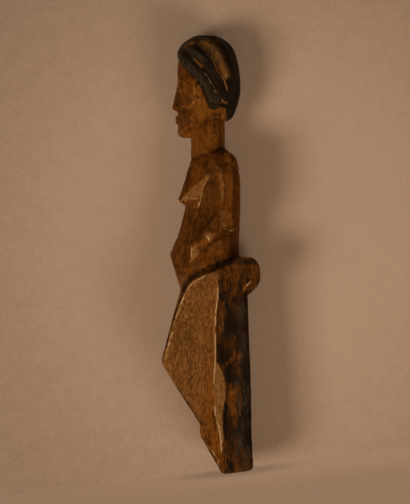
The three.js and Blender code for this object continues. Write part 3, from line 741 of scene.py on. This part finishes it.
def paint_body(skin, voxel):
    """What the wood reads on the body, each from 0 to 1: edges, facets and scrapes made lighter, partly
    from use and partly as painted highlights and as painted light on facets that face the lamps;
    painted shade in hollows, grooves and rings, between breast and arm, under the forearm, on the back
    of the arm and on the fronts of the legs, and darker on the slab; black staining and the grey film
    on it behind the ridge of the legs, with painted shade laid in as black on the ledge and along the
    front edge of the legs; pale and greenish flat sides; and orange where it was handled, with painted
    light on the top of the shoulder."""
    points = skin.points
    normals = skin.normals()
    edge = skin.bend(1) / voxel
    hollow = -skin.bend(14) / voxel
    x, y, z = points.T

    # Where things are: the sides, front and back of the legs, the ridge line and the sliver behind
    # it, the trunk, the arm and the slab over the legs.
    beside = step(np.abs(normals[:, 0]), 0.3, 0.6)
    outer = step(np.abs(x), 9, 12) * step(112 - z, 0, 4)
    ridge, sliver_edge = np.interp(z, *RIDGE_LINE), np.interp(z, *SLIVER_EDGE)
    legs = step(112 - z, 0, 6)
    flank = legs * step(ridge - y, -0.5, 0.5)
    hind = legs * step(y - np.maximum(ridge, np.where(z < 62, sliver_edge, -99)), 0.2, 1.4)
    sliver = outer * step(z, 13, 20) * step(63 - z, 0, 2) * (1 - flank) * (1 - hind)
    lasting = step(drift(points, (3, 3, 4), 25), -0.8, 0.2)
    line = outer * (1 - step(np.abs(y - ridge - 0.1), 0.2, 0.75)) * lasting
    front = legs * step(-normals[:, 1], 0.55, 0.8) * step(100 - z, 0, 6)
    trunk = step(z, 112, 116) * step(176 - z, 0, 3)
    arm = within(points, (8.6, 13.6, 136, 176), 0.8) * step(np.abs(x), 14, 17)
    slab = within(points, (5, 30, 99, 114), 1) * (1 - within(points, (16, 30, 90, 104), 2))

    # The drawn marks, each list with how far its courses waver and its seed.
    marks = ((STAINED, 1.8, 24), (ASHEN, 0.9, 28), (WORN_AND_ELBOW_HIGHLIGHT, 0.7, 21), (HANDLED_AND_LIT, 1.2, 29), (SHADED, 1, 30))
    stained, ashen, worn_and_lit, handled, shaded = (
        beside * strokes(points, lines, waver, seed) for lines, waver, seed in marks
    )
    # Even black: staining, and painted shade on the ledge's upper face and along the front edge of the
    # legs, turned from the lamps.
    stain_and_shade_band = np.minimum(1.5 * beside * strokes(points, STAIN_AND_SHADE_BANDS, 0.4, 47), 1)
    # Facets made lighter, partly from use and partly as painted light where they face the lamps.
    facets = np.maximum(np.minimum(1.8 * worn_and_lit, 1), beside * panes(points, RUBBED_AND_LIT_FACETS, 0.35, 52))
    # The grooves round the forearm, darkened with painted shade.
    under, above = (strokes(points, [groove], 0.3, 51) for groove in GROOVED)
    grooved = beside * np.maximum(under, 0.55 * above)
    broken = step(drift(points, (2, 2, 5), 26), -0.9, -0.2)
    # Scrapes of bare wood, with painted highlights on the forearm and the slab.
    scraped_and_glinting = beside * strokes(points, SCRAPES_AND_HIGHLIGHTS, 0.35, 27) * broken
    # Painted shade in the rings round the neck, fainter below.
    rings = strokes(points, RINGS, 0.5, 16) * (0.55 - 0.3 * step(186 - z, 0, 4))

    ragged = 0.5 + 0.5 * drift(points, (0.9, 0.9, 1.6), 48)
    # Edges made lighter, partly from use and partly as painted highlights.
    worn_and_lit_edge = step(edge, 0.03, 0.14) * (0.6 + 0.3 * flank) * (1 - 0.6 * hind)
    rubbed_and_lit = 0.34 * facets * (0.5 + ragged)
    wear = np.max([worn_and_lit_edge, rubbed_and_lit, 0.5 * sliver, line, scraped_and_glinting * (0.4 + ragged)], axis=0)
    skin.paint("wear", wear * (1 - 0.8 * front))

    # Painted shade in hollows, rings and grooves, in the shaded places and on the fronts of the legs,
    # and darker on the slab.
    sunk = step(hollow, 0.006, 0.05) * (1 - 0.3 * trunk) * (1 - step(z, 162, 169))
    shade_marks = [sunk, rings, 0.4 * shaded, 0.75 * grooved, 0.4 * front, 0.45 * slab]
    skin.paint("hollow", np.max(shade_marks, axis=0))

    patches = drift(points, (6, 5, 13), 22) + 0.6 * drift(points, (2.6, 2.2, 7), 23)
    middle = within(points, (-99, 99, 50, 88), 4)
    smeared = hind * (0.49 + 0.08 * middle + 0.18 * patches)
    # Painted shade on the fronts of the legs, which face away from the lamps, laid in as black.
    shaded_fronts = front * (0.1 + 0.2 * patches)
    blackened = [smeared + 0.46 * stained, 0.66 * stain_and_shade_band, slab * (0.3 + 0.1 * patches), shaded_fronts]
    bare = (1 - sliver) * (1 - 0.6 * line) * (1 - 0.8 * worn_and_lit) * (1 - 0.35 * handled)
    skin.paint("stain", np.max(blackened, axis=0) * bare)

    flaking = step(drift(points, (1, 1, 2.6), 49), -0.35, 0.5)
    film = hind * np.exp(-(((y - 18) / 4) ** 2)) * step(100 - z, 0, 10)
    film = film * (1 + drift(points, (4, 3, 9), 53))
    grey_film_and_sheen = [ashen * flaking, 0.45 * film, 0.5 * hind * step(patches, 0.5, 1.2)]
    skin.paint("ash", np.max(grey_film_and_sheen, axis=0))

    browner = 0.5 * step(y, -5, 3) * step(98 - z, 0, 45) + 0.42 * step(62 - z, 0, 30)
    # Pale flat sides of the legs, and the facets painted lighter as above.
    skin.paint("pale", np.maximum(flank * (0.9 - browner) * (1 - 0.8 * stain_and_shade_band), 0.95 * facets))
    skin.paint("olive", 0.4 * within(points, (-19, -10, 62, 88), 4) * flank)

    neck = 0.5 * step(z, 174, 182)
    # Painted light: the top of the shoulder faces away from the lamps and is made lighter orange.
    shoulder = within(points, (9, 20, 167, 182), 2)
    cut_ridges = step(knife_cuts(points, (5.4, 4.2, 10), 11), 0.45, 0.95) * trunk
    tinged = flank * step(drift(points, (9, 7, 12), 55), 0, 0.7)
    warm = [neck, 0.8 * arm, 0.85 * handled, 0.8 * shoulder, 0.25 * trunk * cut_ridges, 0.6 * tinged]
    skin.paint("amber", np.max(warm, axis=0))


# Marks on the side of the head, as for the body: rolls of hair gone brown with handling, with a
# painted highlight along one roll's ridge and painted sheen on the back edge of the crest; thin
# scrapes on them with painted glints; painted shade between them; and a few cuts of bare wood where
# hands wore the side of the head, with a painted highlight on the front of the ear.
HAIR_RUBBED_AND_SHEEN = (
    (((-12.6, 235.4), (-8.4, 237)), 2.8),
    (((-1, 236.6), (2.6, 233.6), (5.2, 228.6)), 7),
    (((2.8, 233), (6.6, 227.4), (8.8, 222), (9.6, 218.6)), 4.6),
    (((-7.4, 227.4), (-3.6, 223.6)), 1.3),
    (((3, 224.6), (6.6, 219.2), (9.2, 214.4), (10.6, 210)), 1.1),
    (((16.6, 224), (17.4, 214), (16.6, 209)), 1.6),
    (((7.4, 205.2), (9.6, 203.8)), 1.5),
)
HAIR_SCRAPES_AND_GLINTS = (
    (((-3.2, 221.6), (0.4, 217), (2.4, 213)), 0.55),
    (((2.9, 211.6), (4.3, 209.4)), 0.95),
    (((13.6, 207.4), (14.4, 205.6)), 0.8),
)
HAIR_GROOVE_SHADE = (
    (((-1, 223.8), (3.8, 216), (7.2, 208.6)), 2.6),
    (((-6, 233.6), (-3, 230.4)), 1.6),
)
NICKS_AND_EAR_HIGHLIGHT = (
    (((-7.6, 213), (-7.2, 208.4)), 0.55),
    (((-10, 201), (-7, 204.4)), 0.55),
    (((-5.4, 205), (-3.4, 205.2)), 0.4),
)
# Millimetres from one combed groove of the crest to the next.
COMB_PITCH = 1.7


def behind_crest_front(points):
    """How far back points lie from the front of the crest's section at their height."""
    _, y, z = points.T
    return y - np.interp(z, CREST_SECTIONS[:, 0], CREST_SECTIONS[:, 1])


def carve_head(skin, depth):
    """Finer knife work on the head: a slight waver, scoops along the face, and combed grooves down
    the crest, which sink by depth times the positive part of a sine across it."""
    skin.points += 0.2 * drifts(skin.points, (11, 9, 13), (31, 32, 33))
    hair = hair_cover(skin.points)
    scoops = knife_cuts(skin.points, (4, 3.4, 6.4), 34)
    skin.push(-depth * (0.45 + 0.35 * hair) * (1 - scoops))
    x, _, z = skin.points.T
    crest = hair * step(behind_crest_front(skin.points), 4, 7)
    combed = np.sin(x * 2 * np.pi / COMB_PITCH + 1.6 * drift(skin.points, (6, 6, 9), 35))
    skin.push(-0.45 * depth * crest * np.maximum(combed, 0) * step(212 - z, -4, 12))
    skin.push(0.09 * drift(skin.points, (1.4, 1.4, 2.6), 36))
    chips = step(drift(skin.points, (1.8, 1.8, 3), 37), 0.1, 0.8)
    skin.push(-1.2 * np.maximum(skin.bend(2), 0) * chips * hair)


def folded(points):
    """The points with both sides of the figure laid over its left side."""
    return points * np.where(points[:, :1] < 0, [-1, 1, 1], [1, 1, 1])


def hair_cover(points):
    """1 on the hair and 0 on skin: behind the slanting hairline, under the rolled locks, and on the
    crest."""
    side = folded(points)
    y, z = side[:, 1], side[:, 2]
    cap = step(past_hairline(side), 0, 0.6) * step(z, HAIR_LOW_Z - 0.8, HAIR_LOW_Z + 0.2)
    far = LOCK_RADIUS + 0.5
    locks = [1 - step(distance_to(side, path), LOCK_RADIUS, far) for path in lock_paths(5)]
    crest = step(y, 9.4, 10.2) * step(z, 193, 194)
    return np.max([cap, crest, *locks], axis=0)


def paint_head(skin, voxel):
    """What the wood reads on the head, each from 0 to 1: black staining on the hair, less where the
    rolls have gone brown with handling and where painted highlights and sheen lie on them, and blacker
    between them as painted shade; a grey film on the rolls and not between them, greyer on their
    ridges as painted sheen and less grey in their grooves as painted shade; edges and cuts made
    lighter from use, with painted highlights and glints among them; painted shade in hollows; and
    orange on the handled skin."""
    points = skin.points
    hair = hair_cover(points)
    edge = skin.bend(1) / voxel
    hollow = -skin.bend(12) / voxel
    x, y, _ = points.T
    beside = step(np.abs(x), 5, 8)
    ragged = 0.87 + 0.3 * drift(points, (1.2, 1.1, 4.2), 46)
    # Brown bands on the rolls from handling, with a painted highlight along a roll's ridge and painted
    # sheen on the crest's back edge.
    rubbed_and_lit = beside * strokes(points, HAIR_RUBBED_AND_SHEEN, 0.8, 41) * ragged
    broken = step(drift(points, (1.6, 1.6, 1.8), 42), -0.5, 0.4)
    # Scrapes on the hair, mostly painted glints.
    scraped_and_glinting = beside * strokes(points, HAIR_SCRAPES_AND_GLINTS, 0.4, 43) * broken
    fading = 0.8 + 0.5 * drift(points, (1, 1, 1.2), 50)
    # Cuts of bare wood, and a painted highlight on the front of the ear.
    nicks_and_ear_highlight = beside * strokes(points, NICKS_AND_EAR_HIGHLIGHT, 0.4, 45) * (1 - hair) * fading
    crest = hair * step(behind_crest_front(points), 6, 9)
    # Painted shade between the rolls: blacker, and with no grey sheen.
    shade_between_rolls = hair * beside * np.minimum(1.6 * strokes(points, HAIR_GROOVE_SHADE, 0.5, 54), 1)
    crest_and_groove_shade = np.maximum(crest, shade_between_rolls)
    skin.paint("stain", hair * (0.85 + 0.15 * crest_and_groove_shade) * (1 - 0.85 * rubbed_and_lit))
    # Edges made lighter, partly from use and partly as painted highlights.
    worn_and_lit = step(edge, 0.04, 0.16) * (0.5 - 0.35 * hair)
    skin.paint("wear", np.max([worn_and_lit, 0.47 * rubbed_and_lit, 0.95 * scraped_and_glinting, nicks_and_ear_highlight], axis=0))
    # Painted shade in the hollows.
    skin.paint("hollow", step(hollow, 0.008, 0.05))
    # A grey film on the rolls, greyer on their ridges as painted sheen and less grey in the grooves as
    # painted shade.
    strands = 0.1 * drift(points, (0.8, 0.8, 3.4), 57)
    rolled = 0.36 - 0.3 * step(hollow, 0.002, 0.03) + 0.26 * step(-hollow, 0.004, 0.03) + strands
    skin.paint("ash", hair * np.maximum(rolled, 0) * (1 - crest_and_groove_shade) * (1 - 0.6 * rubbed_and_lit))
    skin.paint("pale", np.zeros(len(points)))
    skin.paint("olive", 0.8 * rubbed_and_lit * step(7 - y, 0, 4))
    handled = 0.25 + 0.35 * step(y, -12, -4) + 0.3 * within(points, (-7, 0, 203, 216), 2)
    handled = handled + 0.3 * within(points, (-5, 10, 191, 201), 2)
    skin.paint("amber", np.maximum(handled * (1 - hair), 0.5 * rubbed_and_lit * step(y, 4, 9)))


# Finishes


class Wire:
    """One node output. Sums with it (+, - and *, with numbers on either side) add Math nodes."""

    def __init__(self, finish, socket):
        self.finish, self.socket = finish, socket

    def _maths(self, operation, first, second):
        return self.finish.node("ShaderNodeMath", {"operation": operation}, {0: first, 1: second})

    def __add__(self, other):
        return self._maths("ADD", self, other)

    __radd__ = __add__

    def __sub__(self, other):
        return self._maths("SUBTRACT", self, other)

    def __rsub__(self, other):
        return self._maths("SUBTRACT", other, self)

    def __mul__(self, other):
        return self._maths("MULTIPLY", self, other)

    __rmul__ = __mul__

    def over(self, low, high):
        """0 where the value is below low, 1 above high, eased between."""
        spans = {"Value": self, "From Min": low, "From Max": high, "To Min": 0.0, "To Max": 1.0}
        return self.finish.node("ShaderNodeMapRange", {"interpolation_type": "SMOOTHSTEP"}, spans)


class Finish:
    """A material under way: its nodes are added one after another, and `done` wires the surface."""

    def __init__(self, name):
        self.material = bpy.data.materials.new(name)
        self.material.use_nodes = True
        self.tree = self.material.node_tree
        self.tree.nodes.clear()
        self.place = self.node("ShaderNodeTexCoord", {}, {}, "Object")

    def node(self, kind, settings, sockets, output=0):
        """Adds a node: settings first, then a value or a wire for each named or numbered socket."""
        made = self.tree.nodes.new(kind)
        for name, value in settings.items():
            setattr(made, name, value)
        for name, value in sockets.items():
            if isinstance(value, Wire):
                self.tree.links.new(value.socket, made.inputs[name])
            else:
                made.inputs[name].default_value = value
        return Wire(self, made.outputs[output])

    def noise(self, cell, detail=3.0, roughness=0.55, turn=-LEAN):
        """Noise with cells of so many metres along the figure's own x, y and z, leaning with it."""
        laid = {"Vector": self.place, "Rotation": (turn, 0, 0), "Scale": cell}
        vector = self.node("ShaderNodeMapping", {"vector_type": "TEXTURE"}, laid)
        sockets = {"Vector": vector, "Scale": 1.0, "Detail": detail, "Roughness": roughness}
        return self.node("ShaderNodeTexNoise", {}, sockets)

    def painted(self, name):
        """An attribute that was painted on the mesh."""
        return self.node("ShaderNodeAttribute", {"attribute_name": name}, {}, "Fac")

    def blend(self, share, first, second):
        """A colour between two, by share."""
        colours = {0: share, 6: first, 7: second}
        return self.node("ShaderNodeMix", {"data_type": "RGBA"}, colours, 2)

    def done(self, surface):
        """Wires the surface to the material's output."""
        output = self.tree.nodes.new("ShaderNodeOutputMaterial")
        self.tree.links.new(surface.socket, output.inputs["Surface"])
        return self.material


def opaque(colour):
    """A colour with full alpha, as a node's socket takes it."""
    return (*colour, 1.0)


# The wood's noises: cell size in metres along x, y and z, detail, roughness, and the span of values
# that is stretched from 0 to 1.
GRAINS = (
    ("fibres", (0.0008, 0.0008, 0.014), 4, 0.6, (0.3, 0.7)),
    ("figure", (0.0035, 0.0035, 0.05), 3, 0.5, (0.3, 0.7)),
    ("clouds", (0.011, 0.009, 0.018), 3, 0.55, (0.3, 0.7)),
    ("mottle", (0.0026, 0.0024, 0.0042), 4, 0.62, (0.3, 0.7)),
    ("specks", (0.0008, 0.0008, 0.0016), 3, 0.65, (0.3, 0.7)),
    ("streaks", (0.0012, 0.0011, 0.007), 4, 0.62, (0.32, 0.68)),
    ("dashes", (0.0006, 0.0006, 0.0032), 2, 0.5, (0.62, 0.72)),
    ("flecks", (0.001, 0.001, 0.0022), 3, 0.7, (0.36, 0.64)),
)


def oiled_wood(looks):
    """Dark hand-polished wood: deep and lighter brown in long grain, orange where it was handled,
    tan on edges and facets made lighter partly from use and partly as painted highlights and painted
    light, with black staining that also lays in painted shade, a grey film with painted sheen on the
    hair, and painted shade in the hollows."""
    wood = Finish("oiled_wood")
    fibres, figure, clouds, mottle, specks, streaks, dashes, flecks = (
        wood.noise(cell, detail, roughness).over(*span) for _, cell, detail, roughness, span in GRAINS
    )
    layers = ("wear", "hollow", "stain", "ash", "pale", "olive", "amber")
    wear, hollow, stain, ash, pale, olive, amber = (wood.painted(name) for name in layers)

    grain = (0.14 * fibres + 0.24 * figure + 0.32 * clouds + 0.3 * mottle).over(0.25, 0.75)
    colour = wood.blend(grain, opaque(looks.deep), opaque(looks.brown))
    warm = (amber + 0.6 * (clouds - 0.5) + 0.4 * (mottle - 0.5)).over(0.1, 1.0) * (0.7 + 0.3 * fibres)
    colour = wood.blend(warm, colour, opaque(looks.amber))
    # Pale flat sides, and facets painted lighter where they face the lamps.
    bleached = pale.over(0.1, 0.7) * (0.16 + 0.3 * mottle + 0.44 * clouds + 0.24 * specks)
    colour = wood.blend(bleached * (1 - 0.75 * warm), colour, opaque(looks.pale))
    colour = wood.blend(olive * (0.3 + 0.7 * mottle), colour, opaque(looks.olive))
    combed = (0.4 * streaks + 0.4 * specks + 0.2 * mottle).over(0.3, 0.8)
    colour = wood.blend(combed * (0.42 + 0.3 * pale), colour, opaque(looks.deep))
    colour = wood.blend((1 - flecks).over(0.45, 1.0) * 0.36, colour, opaque(looks.deep))
    colour = wood.blend(flecks.over(0.5, 1.0) * (0.1 + 0.26 * pale), colour, opaque(looks.worn_and_lit))
    # Black staining, which also lays in painted shade on the fronts of the legs, on the ledge and
    # between the rolls of hair.
    covered = stain + 0.36 * (streaks - 0.5) + 0.32 * (mottle - 0.5) + 0.26 * (specks - 0.5)
    black = covered.over(0.08, 0.85) * stain.over(0.0, 0.25)
    colour = wood.blend(0.96 * black, colour, opaque(looks.stain))
    # The grey film, and painted sheen on the rolls of hair.
    grey_film_and_sheen = (ash + 0.5 * (streaks - 0.5) + 0.3 * (specks - 0.5)).over(0.1, 1.1) * ash.over(0.0, 0.3)
    colour = wood.blend(0.75 * grey_film_and_sheen, colour, opaque(looks.ash))
    # Painted shade in the hollows, grooves and shaded places.
    painted_shade = (hollow + 0.5 * (mottle - 0.5)).over(0.2, 0.95) * (1 - 0.9 * black)
    colour = wood.blend(0.68 * painted_shade, colour, opaque(looks.painted_shade))
    # Lighter from use and from painted highlights: tan, and the bare wood tone at the brightest.
    uneven = wear + 0.28 * (specks - 0.5) + 0.24 * (streaks - 0.5)
    rubbed_and_lit = uneven.over(0.12, 1.0) * wear.over(0.0, 0.2)
    rubbed_and_lit = rubbed_and_lit + 0.5 * dashes * pale * (1 - rubbed_and_lit)
    colour = wood.blend(rubbed_and_lit, colour, opaque(looks.worn_and_lit))
    colour = wood.blend(0.8 * rubbed_and_lit.over(0.75, 1.0), colour, opaque(looks.bare))

    roughness = 0.52 - 0.08 * black + 0.1 * rubbed_and_lit + 0.08 * (specks - 0.5) + 0.1 * painted_shade
    relief = 0.4 * fibres + 0.3 * specks + 0.3 * streaks
    bump = wood.node("ShaderNodeBump", {}, {"Strength": 0.6, "Distance": 0.0002, "Height": relief})
    surface = wood.node(
        "ShaderNodeBsdfPrincipled",
        {},
        {
            "Base Color": colour,
            "Roughness": roughness,
            "Normal": bump,
            "Specular IOR Level": 0.06,
            "Specular Tint": opaque((1.0, 0.66, 0.3)),
        },
    )
    return wood.done(surface)


def paper(name, colour, shades):
    """Matt pale paper with faint fibres. Each shade is a centre, the two distances from it between
    which the paper gets darker, and by how much."""
    sheet = Finish(name)
    cloud = sheet.noise((0.008, 0.008, 0.008), 5, 0.65, 0.0)
    fleck = sheet.noise((0.002, 0.002, 0.002), 3, 0.6, 0.0)
    light = 1 + 0.16 * (cloud - 0.5) + 0.16 * (fleck - 0.5)
    for centre, reach, fade in shades:
        ends = {0: sheet.place, 1: centre}
        away = sheet.node("ShaderNodeVectorMath", {"operation": "DISTANCE"}, ends, "Value")
        light = light - fade * away.over(*reach)
    return sheet, sheet.blend(light, opaque([0.0] * 3), opaque(colour))


# Shades on the stage's paper: a centre, the two distances, and how much darker it gets.
BACKDROP_SHADE = ((-0.023, 0.03, 0.135), (0.05, 0.22), 0.36)
FLOOR_SHADE = ((-0.023, 0.06, 0.135), (0.05, 0.24), 0.24)
SHADE_UNDER_FOOT = ((0.0, 0.0, 0.0), (0.045, 0.01), 0.25)
FLOOR_GLOW = 0.643


def backdrop_paper(colour):
    """Paper that is clear from behind, so views from the far side aren't blocked."""
    sheet, tint = paper("backdrop_paper", colour, [BACKDROP_SHADE])
    matt = sheet.node("ShaderNodeBsdfDiffuse", {}, {"Color": tint})
    clear = sheet.node("ShaderNodeBsdfTransparent", {}, {})
    behind = sheet.node("ShaderNodeNewGeometry", {}, {}, "Backfacing")
    return sheet.done(sheet.node("ShaderNodeMixShader", {}, {0: behind, 1: matt, 2: clear}))


def floor_paper(colour):
    """Paper that glows evenly, with a painted shadow close round the foot and painted shade further
    out.
    """
    sheet, tint = paper("floor_paper", colour, [SHADE_UNDER_FOOT, FLOOR_SHADE])
    return sheet.done(sheet.node("ShaderNodeEmission", {}, {"Color": tint, "Strength": FLOOR_GLOW}))


# Settings, operators and panel


def tone(name, description, value):
    """A colour setting."""
    return FloatVectorProperty(
        name=name, description=description, default=value, size=3, min=0, max=1, subtype="COLOR"
    )


def length(name, description, value, precision=4):
    """A length setting, in metres."""
    return FloatProperty(
        name=name, description=description, default=value, min=0, unit="LENGTH", precision=precision
    )


def lamp_power(name, description, value):
    """A lamp's power, in watts."""
    return FloatProperty(name=name, description=description, default=value, min=0, unit="POWER")


class FigureSettings(bpy.types.PropertyGroup):
    """How finely the figure is carved, and its colours."""

    body_grid: length("Body grid", "Spacing of the points on the skin of the body", 0.00046, 5)
    head_grid: length("Head grid", "Spacing of the points on the skin of the head", 0.00032, 5)
    body_cuts: length("Body cuts", "Depth of the knife cuts on trunk, neck and legs", 0.00045, 5)
    head_cuts: length("Head cuts", "Depth of the knife cuts on face and hair", 0.0003, 5)
    deep: tone("Deep wood", "Darkest tone of the grain", (0.066, 0.0195, 0.0022))
    brown: tone("Brown wood", "Lighter tone of the grain", (0.19, 0.0585, 0.0062))
    amber: tone("Handled wood", "Orange tone of neck, face and arms", (0.25, 0.08, 0.0078))
    pale: tone("Bleached wood", "Tone of the flat sides of the legs", (0.31, 0.124, 0.029))
    # Also the tone of painted highlights, and of facets painted lighter.
    worn_and_lit: tone("Worn edges", "Tone of rubbed edges and facets", (0.4, 0.21, 0.068))
    # Also the tone of the brightest painted highlights.
    bare: tone("Bare wood", "Tone of fresh cuts and sharp edges", (0.62, 0.42, 0.21))
    # Also the tone of painted shade laid in as black.
    stain: tone("Black stain", "Tone of the hair and the backs of the legs", (0.008, 0.0066, 0.0048))
    # Also the tone of the painted sheen on the hair.
    ash: tone("Grey film", "Tone of the dry grey film over the stain", (0.075, 0.062, 0.038))
    olive: tone("Green tinge", "Tone of the greenish patches", (0.12, 0.062, 0.012))
    # The tone of painted shade in hollows and grooves and on faces turned from the lamps.
    painted_shade: tone("Shade_tone", "Tone of the dirt in the hollows", (0.02, 0.0085, 0.0022))


class StageSettings(bpy.types.PropertyGroup):
    """The paper behind and below the figure, the lights and the camera."""

    sheet_size: length("Sheet", "Side of the backdrop", 3.0, 2)
    room: length("Room", "From the figure to the walls round it", 3.0, 2)
    behind: length("Backdrop distance", "From the figure's middle to the foot of the backdrop", 0.028)
    sunk: length("Backdrop depth", "How far the backdrop reaches below the floor", 0.01)
    lean: FloatProperty(
        name="Backdrop lean",
        description="How far the backdrop leans forwards",
        default=0.045,
        unit="ROTATION",
    )
    paper: tone("Paper", "Tone of the backdrop", (0.6, 0.44, 0.318))
    floor: tone("Floor", "Tone of the floor and of the walls round it", (0.6, 0.365, 0.22))
    light: tone("Light", "Tone of the lights", (1.0, 0.88, 0.76))
    main_power: lamp_power("Main light", "Power of the light towards the face", 21.5)
    second_power: lamp_power("Second light", "Power of the light towards the back", 20.8)
    far_power: lamp_power("Far light", "Power of the light from the far side", 1.2)
    room_light: tone("Room tone", "Tone of the even light", (1.0, 0.86, 0.7))
    sky: FloatProperty(name="Room light", description="Strength of the even light", default=0.04, min=0)
    distance: length("Camera distance", "From the camera to the figure", 1.6, 2)
    picture_width: length("Picture width", "Of the plane through the figure's middle", 0.2255)


# The picture's width and height, and the point that the camera looks at, in the carver's frame.
PICTURE = (410, 504)
AIM = np.array([[0, -1.65, 122.1]])
# Each lamp's place and size in metres, and the setting that holds its power.
LAMPS = (
    ("main_light", (1.5, -1.39, -0.42), 0.8, "main_power"),
    ("second_light", (1.5, 1.13, -1.52), 1.1, "second_power"),
    ("far_light", (-0.9, 0.2, 0.6), 0.5, "far_power"),
)
# How many corners the round floor has, and how near the camera begins to see, in metres.
FLOOR_CORNERS = 48
NEAREST_SEEN = 0.05


def carved(name, shells, grid, depth, carve, paint, looks):
    """Makes one piece of the figure: its skin is drawn round the shells, carved to a depth, painted
    and thinned, and gets the one wood material. Then it is tied to the frame."""
    grid, depth = grid * 1000, depth * 1000
    piece = skinned(name, shells, grid)
    skin = Skin(piece)
    skin.smooth(3)
    carve(skin, depth)
    skin.smooth(1)
    skin.store()
    paint(skin, grid)
    thin(piece, MOST_TRIANGLES)
    piece.data.materials.clear()
    piece.data.materials.append(bpy.data.materials.get("oiled_wood") or oiled_wood(looks))
    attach(piece, "root")
    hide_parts(NODE)


class FIGURE_OT_body(bpy.types.Operator):
    """Carve the body: legs, hips, trunk, arms and neck"""

    bl_idname = "figure.body"
    bl_label = "Carve the body"

    def execute(self, context):
        looks = context.scene.figure
        sizes = (looks.body_grid, looks.body_cuts)
        carved("figure_body", body_shells(), *sizes, carve_body, paint_body, looks)
        return {"FINISHED"}


class FIGURE_OT_head(bpy.types.Operator):
    """Carve the head: face, ears and rolled hair"""

    bl_idname = "figure.head"
    bl_label = "Carve the head"

    def execute(self, context):
        looks = context.scene.figure
        sizes = (looks.head_grid, looks.head_cuts)
        carved("figure_head", head_shells(), *sizes, carve_head, paint_head, looks)
        return {"FINISHED"}


def stage_sheet(name, corners, faces, material):
    """A sheet of the stage, which casts no shadow."""
    mesh = bpy.data.meshes.new(name)
    mesh.from_pydata(corners, [], faces)
    mesh.materials.append(material)
    made = bpy.data.objects.new(name, mesh)
    made.visible_shadow = False
    bpy.context.scene.collection.objects.link(made)
    return made


def lamp(name, place, target, size, power, colour):
    """A soft square light at a place, turned towards a target."""
    light = bpy.data.lights.new(name, "AREA")
    light.size, light.energy, light.color = size, power, colour
    made = bpy.data.objects.new(name, light)
    made.location = place
    made.rotation_euler = (Vector(target) - Vector(place)).to_track_quat("-Z", "Y").to_euler()
    bpy.context.scene.collection.objects.link(made)
    return made


class FIGURE_OT_stage(bpy.types.Operator):
    """Set up the floor, the backdrop, the lights and the camera"""

    bl_idname = "figure.stage"
    bl_label = "Set the stage"

    def execute(self, context):
        scene, stage = context.scene, context.scene.figure_stage
        half, back = stage.sheet_size / 2, -stage.behind
        low, top = -stage.sunk, back + half * math.tan(stage.lean)
        behind = [(back, -half, low), (back, half, low), (top, half, half), (top, -half, half)]
        stage_sheet("backdrop", behind, [(0, 1, 2, 3)], backdrop_paper(stage.paper))
        u = np.linspace(0, 2 * np.pi, FLOOR_CORNERS, endpoint=False)
        ring = stage.room * np.stack([np.cos(u), np.sin(u), 0 * u], axis=-1)
        even_paper = floor_paper(stage.floor)
        i = np.arange(FLOOR_CORNERS)
        j = np.roll(i, -1)
        stage_sheet("floor", ring, [i], even_paper)
        rise = np.vstack([ring, ring + [0, 0, stage.room]])
        panels = np.stack([j, i, i + FLOOR_CORNERS, j + FLOOR_CORNERS], axis=-1)
        wall = stage_sheet("wall", rise, panels, even_paper)
        wall.visible_diffuse = wall.visible_glossy = wall.visible_transmission = False
        middle = stood(AIM)[0]
        for name, place, size, setting in LAMPS:
            lamp(name, place, middle, size, getattr(stage, setting), stage.light)
        world = bpy.data.worlds.new("room")
        world.use_nodes = True
        even = world.node_tree.nodes["Background"]
        even.inputs["Color"].default_value = opaque(stage.room_light)
        even.inputs["Strength"].default_value = stage.sky
        scene.world = world
        scene.view_settings.view_transform = "Standard"

        # The camera looks level along -X, and is rolled until the figure's own back is upright.
        view = bpy.data.cameras.new("camera")
        camera = bpy.data.objects.new("camera", view)
        across, up = Vector(UPRIGHT_TO_PART @ [0, 1, 0]), Vector(UPRIGHT_TO_PART @ [0, 0, 1])
        turn = Matrix((across, up, across.cross(up))).transposed().to_4x4()
        camera.matrix_world = Matrix.Translation(Vector(middle) + Vector((stage.distance, 0, 0))) @ turn
        picture_height = stage.picture_width * PICTURE[1] / PICTURE[0]
        view.lens = view.sensor_width * stage.distance / picture_height
        view.clip_start = NEAREST_SEEN
        scene.collection.objects.link(camera)
        scene.camera = camera
        return {"FINISHED"}


class FIGURE_PT_sidebar(bpy.types.Panel):
    """The figure's steps and settings in the sidebar"""

    bl_idname = "FIGURE_PT_sidebar"
    bl_label = "Carved figure"
    bl_space_type = "VIEW_3D"
    bl_region_type = "UI"
    bl_category = "Figure"

    def draw(self, context):
        """A button for each operator, and below them every setting."""
        for operator in OPERATORS:
            self.layout.operator(operator.bl_idname)
        for settings in (context.scene.figure, context.scene.figure_stage):
            box = self.layout.box()
            for name in settings.__annotations__:
                box.prop(settings, name)


OPERATORS = (FIGURE_OT_body, FIGURE_OT_head, FIGURE_OT_stage)
CLASSES = (FigureSettings, StageSettings, *OPERATORS, FIGURE_PT_sidebar)


def register():
    """Makes the classes known to Blender, and gives each scene the two groups of settings."""
    for each in CLASSES:
        bpy.utils.register_class(each)
    bpy.types.Scene.figure = PointerProperty(type=FigureSettings)
    bpy.types.Scene.figure_stage = PointerProperty(type=StageSettings)


def unregister():
    """Takes back what register did."""
    del bpy.types.Scene.figure_stage, bpy.types.Scene.figure
    for each in reversed(CLASSES):
        bpy.utils.unregister_class(each)


def main():
    """Runs the operators in order."""
    register()
    bpy.ops.figure.body()
    bpy.ops.figure.head()
    bpy.ops.figure.stage()


if __name__ == "__main__":
    main()
